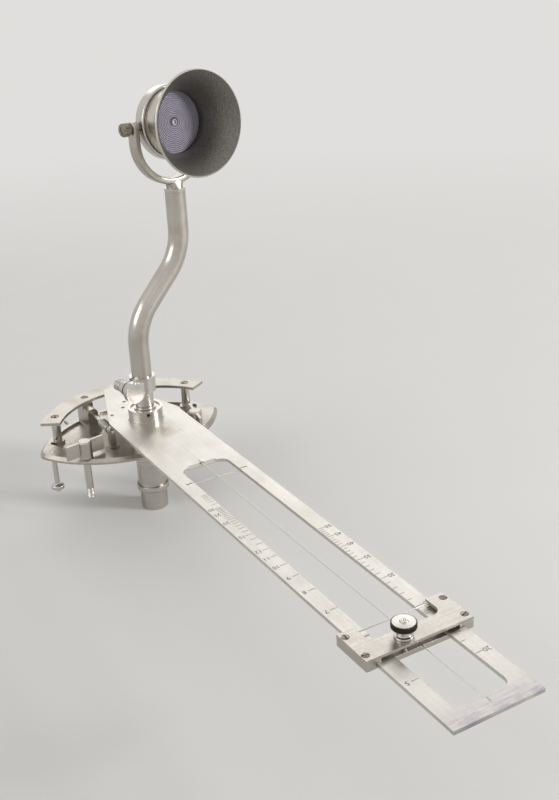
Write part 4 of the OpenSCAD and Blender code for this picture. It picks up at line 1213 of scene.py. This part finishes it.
@dataclass
class Stem:
    """Collar, split clamp, cranked tube and yoke.

    Attributes:
        tube_r: Outer radius of the tube.
        bore_r: Radius of its bore.
        bend_r: Radius of both bends.
        bend: Angle of each bend.
        bend_start: Height of the lower bend above the plate.
        tube_low: Height of the tube's lower end above the plate.
        tube_high: Height of its upper end above the plate.
        lug_y: Place of the lug's and the thumb screw's axis across the stem.
        lug_z: Height of that axis.
        face_r: Radius of the lug's polished face.
        face_x: Its place along the axis.
        face_t: Its thickness.
        thumb_r: Radius of the thumb screw's ribs.
        rib_deep: Depth of the grooves between them.
        rib_pitch: Distance from rib to rib.
        thumb_back: Outer end of the head along the axis.
        thumb_front: Inner end of the head.
        shank_r: Radius of the shank.
        shank_end: Its inner end.
        set_turn: Angle of the collar's set screw, in degrees.
        set_r: Distance of its head from the spindle.
        set_lift: Its height above the plate.
        strap_r: Radius of the strap's half round.
        strap_drop: Depth of the half round's centre below the trunnions.
        strap_half_t: Half thickness of the strap.
        ear_r: Radius of its ears and half its width.
        corner: Power of the sine and cosine in its section; 1 gives an ellipse and 0 a rectangle.
        neck_low: Lower end of the neck, from the trunnions.
        neck_h: Height of the neck.
        neck_r: Radius of its lower end.
        neck_flare: How far it widens along the strap.
        neck_taper: How far it narrows across the strap.
    """

    tube_r: float = 6.5
    bore_r: float = 5.0
    bend_r: float = 37.0
    bend: float = math.radians(45.0)
    bend_start: float = 49.4
    tube_low: float = 20.23
    tube_high: float = 142.0
    lug_y: float = -10.2
    lug_z: float = 87.6
    face_r: float = 6.95
    face_x: float = 7.42
    face_t: float = 0.52
    thumb_r: float = 3.9
    rib_deep: float = 0.7
    rib_pitch: float = 2.333
    thumb_back: float = -13.1
    thumb_front: float = -6.1
    shank_r: float = 2.0
    shank_end: float = 5.0
    set_turn: float = -14.0
    set_r: float = 10.55
    set_lift: float = 5.7
    strap_r: float = 26.05
    strap_drop: float = 9.2
    strap_half_t: float = 2.25
    ear_r: float = 4.0
    corner: float = 0.5
    neck_low: float = -39.8
    neck_h: float = 4.55
    neck_r: float = 5.3
    neck_flare: float = 5.0
    neck_taper: float = 1.35

    def centre_line(self) -> np.ndarray:
        """Work out the tube's centre line: upright, arc, slope, arc, upright, in the turned Y and Z plane.

        Returns:
            Points of the line.
        """
        rise = self.bend_r * math.sin(self.bend)
        shift = self.bend_r * (1 - math.cos(self.bend))
        slope = (STEM_OFFSET - 2 * shift) / math.sin(self.bend)
        t = np.linspace(0.0, self.bend, 25)
        first = np.stack((self.bend_r * (1 - np.cos(t)), self.bend_start + self.bend_r * np.sin(t)), 1)
        bend_end = self.bend_start + 2 * rise + slope * math.cos(self.bend)
        second = np.stack((STEM_OFFSET - self.bend_r * (1 - np.cos(t[::-1])),
                           bend_end - self.bend_r * np.sin(t[::-1])), 1)
        low = np.stack((np.zeros(8), np.linspace(self.tube_low, self.bend_start, 8)), 1)[:-1]
        high = np.stack((np.full(7, STEM_OFFSET), np.linspace(bend_end, self.tube_high, 7)), 1)[1:]
        line = np.concatenate((low, first, second, high))
        c, s = math.cos(STEM_TURN), math.sin(STEM_TURN)
        return np.stack((-s * line[:, 0], c * line[:, 0], PLATE_TOP + line[:, 1]), 1)

    def thumb_axis(self) -> Axis:
        """Return the axis of the lug and the thumb screw."""
        return Axis(turned(0.0, self.lug_y, self.lug_z), turned(1.0, 0.0, 0.0))

    def thumb_screw(self) -> Surface:
        """Turn the thumb screw from its profile: a shank and a head with three round ribs.

        Returns:
            The screw.
        """
        low = self.thumb_r - self.rib_deep
        steps = ((low, 0.0), (self.thumb_r, 0.25), (self.thumb_r, 1.25), (low, 1.5))
        starts = [self.thumb_back + self.rib_pitch * k for k in range(3)]
        ribs = [(radius, start + step) for start in starts for radius, step in steps]
        shank = [(low, self.thumb_front), (self.shank_r, self.thumb_front), (self.shank_r, self.shank_end),
                 (0.0, self.shank_end)]
        profile = rounded([(0.0, self.thumb_back)] + ribs + shank, 0.15, False)
        return lathe(self.thumb_axis(), profile, 64)

    def lug_face(self) -> Surface:
        """Turn the polished face on the lug's front: a flat with a fine groove just inside its edge.

        Returns:
            The face.
        """
        back, front, rim = self.face_x - self.face_t, self.face_x, self.face_r
        groove = [(rim - 0.45, front), (rim - 0.6, front - 0.12), (rim - 0.75, front)]
        profile = rounded([(0.0, back), (rim, back), (rim, front)] + groove + [(0.3, front), (0.0, front)],
                          0.08, False)
        return lathe(self.thumb_axis(), profile, 96)

    def strap(self) -> Surface:
        """Bend the yoke's strap: a rounded bar along a U, whose ends are round ears.

        The line runs down one arm, half round a circle and up the other arm. The bar's half width
        is that of a disc above the trunnion and constant below; the section is a superellipse.

        Returns:
            The strap.
        """
        arm, drop = self.strap_r, self.strap_drop
        rise = self.ear_r * np.sin(np.linspace(math.pi / 2, 0.0, 13))
        bow = np.linspace(0.0, math.pi, 61)
        y = np.concatenate((np.full(13, -arm), -arm * np.cos(bow), np.full(13, arm)))
        z = np.concatenate((rise, -drop - arm * np.sin(bow), rise[::-1]))
        wide = self.ear_r * np.sqrt(np.clip(1 - np.clip(z / self.ear_r, 0.0, 1.0) ** 2, 0.0, 1.0))
        out_y = np.where(z > -drop, np.sign(y), y / arm)[:, None]
        out_z = np.where(z > -drop, 0.0, (z + drop) / arm)[:, None]
        angle = np.linspace(0.0, 2 * math.pi, 49)[None, :]
        across = np.sign(np.cos(angle)) * np.abs(np.cos(angle)) ** self.corner
        deep = self.strap_half_t * np.sign(np.sin(angle)) * np.abs(np.sin(angle)) ** self.corner
        return self.on_stem(wide[:, None] * across, y[:, None] + out_y * deep, z[:, None] + out_z * deep)

    def neck(self) -> Surface:
        """Flare the yoke's neck from a circle over the ferrule to the strap, by a quarter circle.

        Returns:
            The neck, closed at both ends.
        """
        t = np.linspace(0.0, 1.0, 17)
        low, high = self.neck_low, self.neck_low + self.neck_h
        z = np.concatenate(([low], low + self.neck_h * t, [high]))[:, None]
        flare = self.neck_r + self.neck_flare * (1 - np.sqrt(1 - t ** 2))
        narrow = self.neck_r - self.neck_taper * t
        wide, deep = (np.concatenate(([0.0], size, [0.0]))[:, None] for size in (flare, narrow))
        angle = np.linspace(0.0, 2 * math.pi, 65)[None, :]
        return self.on_stem(deep * np.cos(angle), wide * np.sin(angle), z + 0 * angle)

    def on_stem(self, x: np.ndarray, y: np.ndarray, z: np.ndarray) -> Surface:
        """Place a grid that is given about the trunnions' middle, in the stem's turned axes.

        Args:
            x: Places along the line of sight.
            y: Places across it.
            z: Heights.

        Returns:
            The surface, with a texture as long as the yoke.
        """
        c, s = math.cos(STEM_TURN), math.sin(STEM_TURN)
        far = STEM_OFFSET + y
        grid = np.stack((c * x - s * far, s * x + c * far, TRUNNION_Z + z), -1)
        rows, columns = grid.shape[:2]
        u, v = np.linspace(0.0, 0.03, columns), np.linspace(0.0, 0.1, rows)
        return Surface.from_grid(grid, u[None, :], v[:, None])

    def trunnion_screw(self, side: int) -> Surface:
        """Turn one trunnion screw: shank, neck, knurled head and slotted end.

        Args:
            side: -1 or 1 for the two sides of the yoke.

        Returns:
            The screw.
        """
        axis = Axis(turned(0.0, STEM_OFFSET, TRUNNION_Z), turned(0.0, float(side), 0.0))
        rows = [(4.0, h) for h in np.linspace(30.2, 33.8, 13)]
        shank = [(0.0, 19.9), (2.2, 19.9), (2.2, 28.35), (2.7, 28.35), (2.7, 29.7), (3.5, 29.7)]
        profile = np.array(shank + rows + [(3.5, 34.3), (0.0, 34.3)])
        body = lathe(axis, profile, 120, teeth=20, tooth=0.35, band=(30.1, 33.9))
        end = Axis(turned(0.0, STEM_OFFSET + side * 34.3, TRUNNION_Z), turned(0.0, float(side), 0.0))
        return joined(body, slotted_head(end, 3.3, 0.35, 0.3, 0.8, 0.45, 25.0))

    def build(self) -> None:
        """Make every piece of the stem."""
        eased_copy("stem_collar", "deck", SATIN_SILVER, 0.2, 2)
        turn = math.radians(self.set_turn)
        screw = Axis((self.set_r * math.cos(turn), self.set_r * math.sin(turn), PLATE_TOP + self.set_lift),
                     (math.cos(turn), math.sin(turn), 0.0))
        # The set screw's head is near black: painted shade in its hole
        put("set_screw_head", slotted_head(screw, 1.1, 0.25, 0.6, 0.35, 0.3, 70.0), "deck", "screw",
            PAINTED_SCREW_SHADE, "collar_set_screw")
        eased_copy("split_clamp", "stem_clamp", SATIN_SILVER, 0.3, 3)
        put("lug_face_turned", self.lug_face(), "stem_clamp", "turned", TURNED_SILVER)
        put("thumb_screw_ribbed", self.thumb_screw(), "thumb_screw", "turned", TURNED_SILVER,
            "clamp_thumb_screw")
        line = self.centre_line()
        put("stem_tube_drawn", self.pipe(line), "stem", "tube", WORN_TUBE, "stem_tube")
        ferrule = rounded([(4.0, 207.0), (6.5, 207.0), (6.5, 208.0), (6.75, 208.0), (6.75, 209.4),
                           (4.0, 209.4)], 0.2, True)
        put("ferrule_turned", lathe(Axis(turned(0.0, STEM_OFFSET, 0.0)), ferrule, 64), "stem", "turned",
            TURNED_SILVER, "stem_ferrule")
        put("yoke_cast", joined(self.strap(), self.neck()), "stem", "casting", PLATED_CASTING, "yoke",
            sharp=50.0)
        put("trunnion_screws_knurled", joined(*map(self.trunnion_screw, (-1, 1))), "stem", "turned",
            AGED_STEEL, "trunnion_screws")

    def pipe(self, line: np.ndarray) -> Surface:
        """Carry the tube's section along its centre line, outside up and bore down.

        Args:
            line: Points of the centre line.

        Returns:
            The tube with its bore.
        """
        guide = turned(1.0, 0.0, 0.0)
        outer = sweep(line, np.full(len(line), self.tube_r), guide)
        inner = sweep(line, np.full(len(line), self.bore_r), guide)
        rows, columns = len(line), 49
        outside, inside = outer.points.reshape(rows, columns, 3), inner.points.reshape(rows, columns, 3)
        grid = np.concatenate((outside, inside[::-1], outside[:1]))
        u = outer.uv[:, 0].reshape(rows, columns)[:1]
        v = arc_length(np.concatenate((line, line[::-1], line[:1])))[:, None]
        return Surface.from_grid(grid, u, v)


@dataclass
class Eyepiece:
    """Rear ring, spun bell and peep disc, turned about the line of sight."""

    disc_r: float = 18.6
    ring_r: float = 22.5
    barrel_r: float = 20.8
    mouth_r: float = 30.4
    wall: float = 1.2
    throat: float = 9.0
    mouth: float = 31.4
    power: float = 1.7

    def axis(self) -> Axis:
        """Return the line of sight, through the trunnions."""
        lift = math.sin(EYEPIECE_TILT)
        return Axis(turned(0.0, STEM_OFFSET, TRUNNION_Z), turned(math.cos(EYEPIECE_TILT), 0.0, lift))

    def bell(self) -> np.ndarray:
        """Work out the bell's section.

        The mouth's inner radius grows from the disc's by a power of the distance from the
        throat; the outside lies one wall away, square to it, and the lip is rolled round.

        Returns:
            The section as rows of (radius, distance along the line of sight).
        """
        t = np.linspace(0.0, 1.0, 40)
        inner = np.stack((self.disc_r + (self.mouth_r - self.disc_r) * t ** self.power,
                          self.throat + (self.mouth - self.throat) * t), 1)
        slope = np.gradient(inner, axis=0)
        slope /= np.linalg.norm(slope, axis=1, keepdims=True)
        outer = inner + np.stack((slope[:, 1], -slope[:, 0]), 1) * self.wall
        outer = outer[(outer[:, 0] > self.barrel_r) & (outer[:, 1] > 12.6)]
        tip = (inner[-1] + outer[-1]) / 2
        roll = np.linspace(0.0, math.pi, 7)[1:-1]
        half = (inner[-1] - outer[-1]) / 2
        lip = tip + np.cos(roll)[:, None] * half + np.sin(roll)[:, None] * slope[-1] * 0.28
        back = rounded([(self.barrel_r, 13.2), (self.barrel_r, 6.2), (19.57, 6.2), (19.57, -1.8),
                        (17.4, -1.8), (17.4, 4.2), (18.63, 4.2), (18.63, 7.8)], 0.35, False)
        section = np.concatenate((inner, lip, outer[::-1], back))
        return np.concatenate((section, section[:1]))

    def ring(self) -> np.ndarray:
        """Return the rear ring's section, with soft shoulders."""
        return rounded([(19.6, -3.0), (self.ring_r, -3.0), (self.ring_r, 5.0), (19.6, 5.0)], 1.1, True, 6)

    def disc(self) -> np.ndarray:
        """Work out the disc's section: the face falls by a rounded groove at each pitch of the radius.

        Returns:
            The section as rows of (radius, distance along the line of sight).
        """
        radius = np.linspace(18.55, 3.4, 220)
        groove = 0.3 * (0.5 - 0.5 * np.cos(2 * math.pi * radius / FACED_DISC.pitch_mm)) ** 1.5
        face = np.stack((radius, 5.6 - groove), 1)
        hub = np.array([(3.2, 5.45), (1.9, 5.45), (1.75, 6.0), (1.3, 6.05), (0.95, 5.7), (0.9, 5.3),
                        (0.9, 4.2)])
        section = np.concatenate((face, hub, ((18.55, 4.2),)))
        return np.concatenate((section, section[:1]))

    def build(self) -> None:
        """Turn the three pieces."""
        axis = self.axis()
        put("eyepiece_ring_turned", lathe(axis, self.ring(), 128), "eyepiece", "drum", TURNED_SILVER,
            "eyepiece_ring")
        bell = put("eyepiece_bell_spun", lathe(axis, self.bell(), 144), "eyepiece", "bell", SPUN_SHEET,
                   "eyepiece_bell")
        face_out(bell, axis, BURNISHED_SHEET)
        section = self.disc()
        disc = lathe(axis, section, 144)
        disc.uv[:, 1] = np.repeat(section[:, 0], 145) * MM
        put("peep_disc_faced", disc, "eyepiece", "disc", FACED_DISC, "peep_disc", sharp=60.0)


@dataclass
class Slider:
    """The slider on its rails, with its wire, clamp bar and knurled knob."""

    knob_x: float = 289.4
    knob_y: float = -5.5
    top: float = 68.0
    knob_r: float = 6.0
    screws: tuple[tuple[float, float], ...] = ((275.4, -27.3), (275.4, 27.3), (291.1, -27.3), (291.1, 27.3))

    def knob(self) -> tuple[Surface, Surface]:
        """Turn the knob.

        Returns:
            Its toothed band, and its foot, waist and faced top.
        """
        axis = Axis((self.knob_x, self.knob_y, 0.0))
        low, high = self.top + 5.05, self.top + 8.05
        rows = [(self.knob_r, h) for h in np.linspace(low + 0.25, high - 0.25, 11)]
        band = np.array([(3.0, low), (5.6, low)] + rows + [(5.65, high), (3.0, high), (3.0, low)])
        teeth = lathe(axis, band, 288, teeth=48, tooth=0.3, band=(low + 0.2, high - 0.2))
        foot = self.top + 0.05
        body = rounded([(0.0, 60.2), (1.6, 60.2), (1.6, foot), (4.6, foot), (4.6, self.top + 1.2),
                        (3.5, self.top + 1.6), (3.3, self.top + 2.4), (3.4, low), (5.55, low),
                        (5.55, high + 0.02), (2.0, high + 0.02), (1.8, high + 0.75), (1.0, high + 0.8),
                        (0.7, high + 0.1), (0.0, high + 0.1)], 0.25, False)
        return teeth, lathe(axis, body, 96)

    def build(self) -> None:
        """Ease the plates and turn the knob."""
        eased_copy("slider_top", "slider", BRUSHED_SLIDER, 0.2)
        eased_copy("slider_rails", "slider", BRUSHED_SLIDER, 0.2)
        eased_copy("clamp_bar", "slider", BRUSHED_SLIDER, 0.3)
        heads = [slotted_head(Axis((x, y, self.top)), 1.95, 0.35, 0.7, 0.5, 0.45, SLOT_TURN * k)
                 for k, (x, y) in enumerate(self.screws)]
        put("slider_screw_heads", joined(*heads), "slider", "screw", AGED_STEEL, "slider_screws")
        wire("slider_wire", "slider", (0.0, 1.0, 0.0))
        teeth, body = self.knob()
        put("knob_teeth", teeth, "knob", "knob", BLACKED_KNURL)
        put("knob_body", body, "knob", "knob", TURNED_SILVER, "clamp_knob")


@dataclass
class Studio:
    """Plain pale floor, soft lights and the camera at the photograph's angle."""

    eye: tuple[float, float, float] = (0.61846, -0.24767, 0.36573)
    right: tuple[float, float, float] = (0.5081, 0.86002, -0.04691)
    down: tuple[float, float, float] = (0.32839, -0.24379, -0.91254)
    ahead: tuple[float, float, float] = (-0.79624, 0.44825, -0.40629)
    focal_px: float = 1110.69
    long_side_px: float = 800.0
    sky_high: str = "#f0f0ef"
    light_low: str = "#9c9b9a"
    light_high: str = "#f6f5f3"
    light_strength: float = 0.55

    def camera(self) -> None:
        """Place the camera that was fitted to the photograph."""
        data = bpy.data.cameras.new("photo_camera")
        data.sensor_width = 36.0
        data.lens = self.focal_px / self.long_side_px * data.sensor_width
        data.clip_start, data.clip_end = 0.01, 100.0
        obj = bpy.data.objects.new("photo_camera", data)
        columns = (Vector(self.right), -Vector(self.down), -Vector(self.ahead))
        turn = Matrix([list(c) for c in columns]).transposed()
        obj.matrix_world = Matrix.Translation(self.eye) @ turn.to_4x4()
        bpy.context.scene.collection.objects.link(obj)
        bpy.context.scene.camera = obj

    def floor(self) -> None:
        """Lay a flat pale floor under the foot."""
        size = 40.0
        mesh = bpy.data.meshes.new("floor")
        mesh.from_pydata([(-size, -size, 0.0), (size, -size, 0.0), (size, size, 0.0), (-size, size, 0.0)], [],
                         [(0, 1, 2, 3)])
        mesh.materials.append(PALETTE.of(FLOOR_PAINT))
        obj = bpy.data.objects.new("floor", mesh)
        bpy.context.scene.collection.objects.link(obj)

    def lamp(self, name: str, place: tuple[float, float, float], aim: tuple[float, float, float],
             size: tuple[float, float], power: float) -> None:
        """Hang one soft box.

        Args:
            name: The lamp's name.
            place: Where it hangs, in metres.
            aim: The point that it faces.
            size: Its width and height.
            power: Its power in watts.
        """
        data = bpy.data.lights.new(name, "AREA")
        data.shape = "RECTANGLE"
        data.size, data.size_y = size
        data.energy = power
        obj = bpy.data.objects.new(name, data)
        obj.location = place
        obj.rotation_euler = (Vector(aim) - Vector(place)).to_track_quat("-Z", "Y").to_euler()
        bpy.context.scene.collection.objects.link(obj)

    def world(self) -> None:
        """Light the set evenly, and show the camera, metal and glass the pale background."""
        world = bpy.data.worlds.new("studio")
        world.use_nodes = True
        tree = world.node_tree
        tree.nodes.clear()
        seen = background_rays(tree)
        coords = add_node(tree, "TexCoord")
        split = add_node(tree, "SeparateXYZ", {}, {0: coords.outputs["Generated"]})
        rise = add_node(tree, "MapRange", {"From Min": -0.1, "From Max": 0.9}, {"Value": split.outputs["Z"]})
        height = rise.outputs["Result"]
        sky = add_node(tree, "Mix", {6: linear(FLOOR_PAINT.far), 7: linear(self.sky_high)}, {0: height},
                       data_type="RGBA")
        soft = add_node(tree, "Mix", {6: linear(self.light_low), 7: linear(self.light_high)}, {0: height},
                        data_type="RGBA")
        lit = add_node(tree, "Background", {"Strength": self.light_strength}, {"Color": soft.outputs[2]})
        shown = add_node(tree, "Background", {"Strength": 1.0}, {"Color": sky.outputs[2]})
        mix = add_node(tree, "MixShader", {}, {0: seen, 1: lit.outputs[0], 2: shown.outputs[0]})
        add_node(tree, "OutputWorld", {}, {"Surface": mix.outputs[0]})
        bpy.context.scene.world = world

    def build(self) -> None:
        """Set up floor, lamps, world and camera."""
        self.floor()
        self.world()
        self.lamp("key", (1.0, 1.1, 0.5), (0.0, 0.02, 0.2), (0.3, 0.3), 14.0)
        self.lamp("fill", (0.0, -1.4, 0.9), (0.08, 0.0, 0.08), (1.1, 0.8), 6.0)
        self.lamp("back", (-0.95, 0.6, 0.85), (0.1, 0.0, 0.06), (1.4, 0.9), 4.0)
        self.camera()
        bpy.context.scene.view_settings.view_transform = "Standard"


def main() -> None:
    """Build every sub-assembly and the studio."""
    logging.basicConfig(level=logging.INFO, format="%(name)s %(message)s")
    parts = (Foot(), Base(), DriftScale(), Plunger(), SightDeck(), Stem(), Eyepiece(), Slider(), Studio())
    for part in parts:
        part.build()


if __name__ == "__main__":
    main()
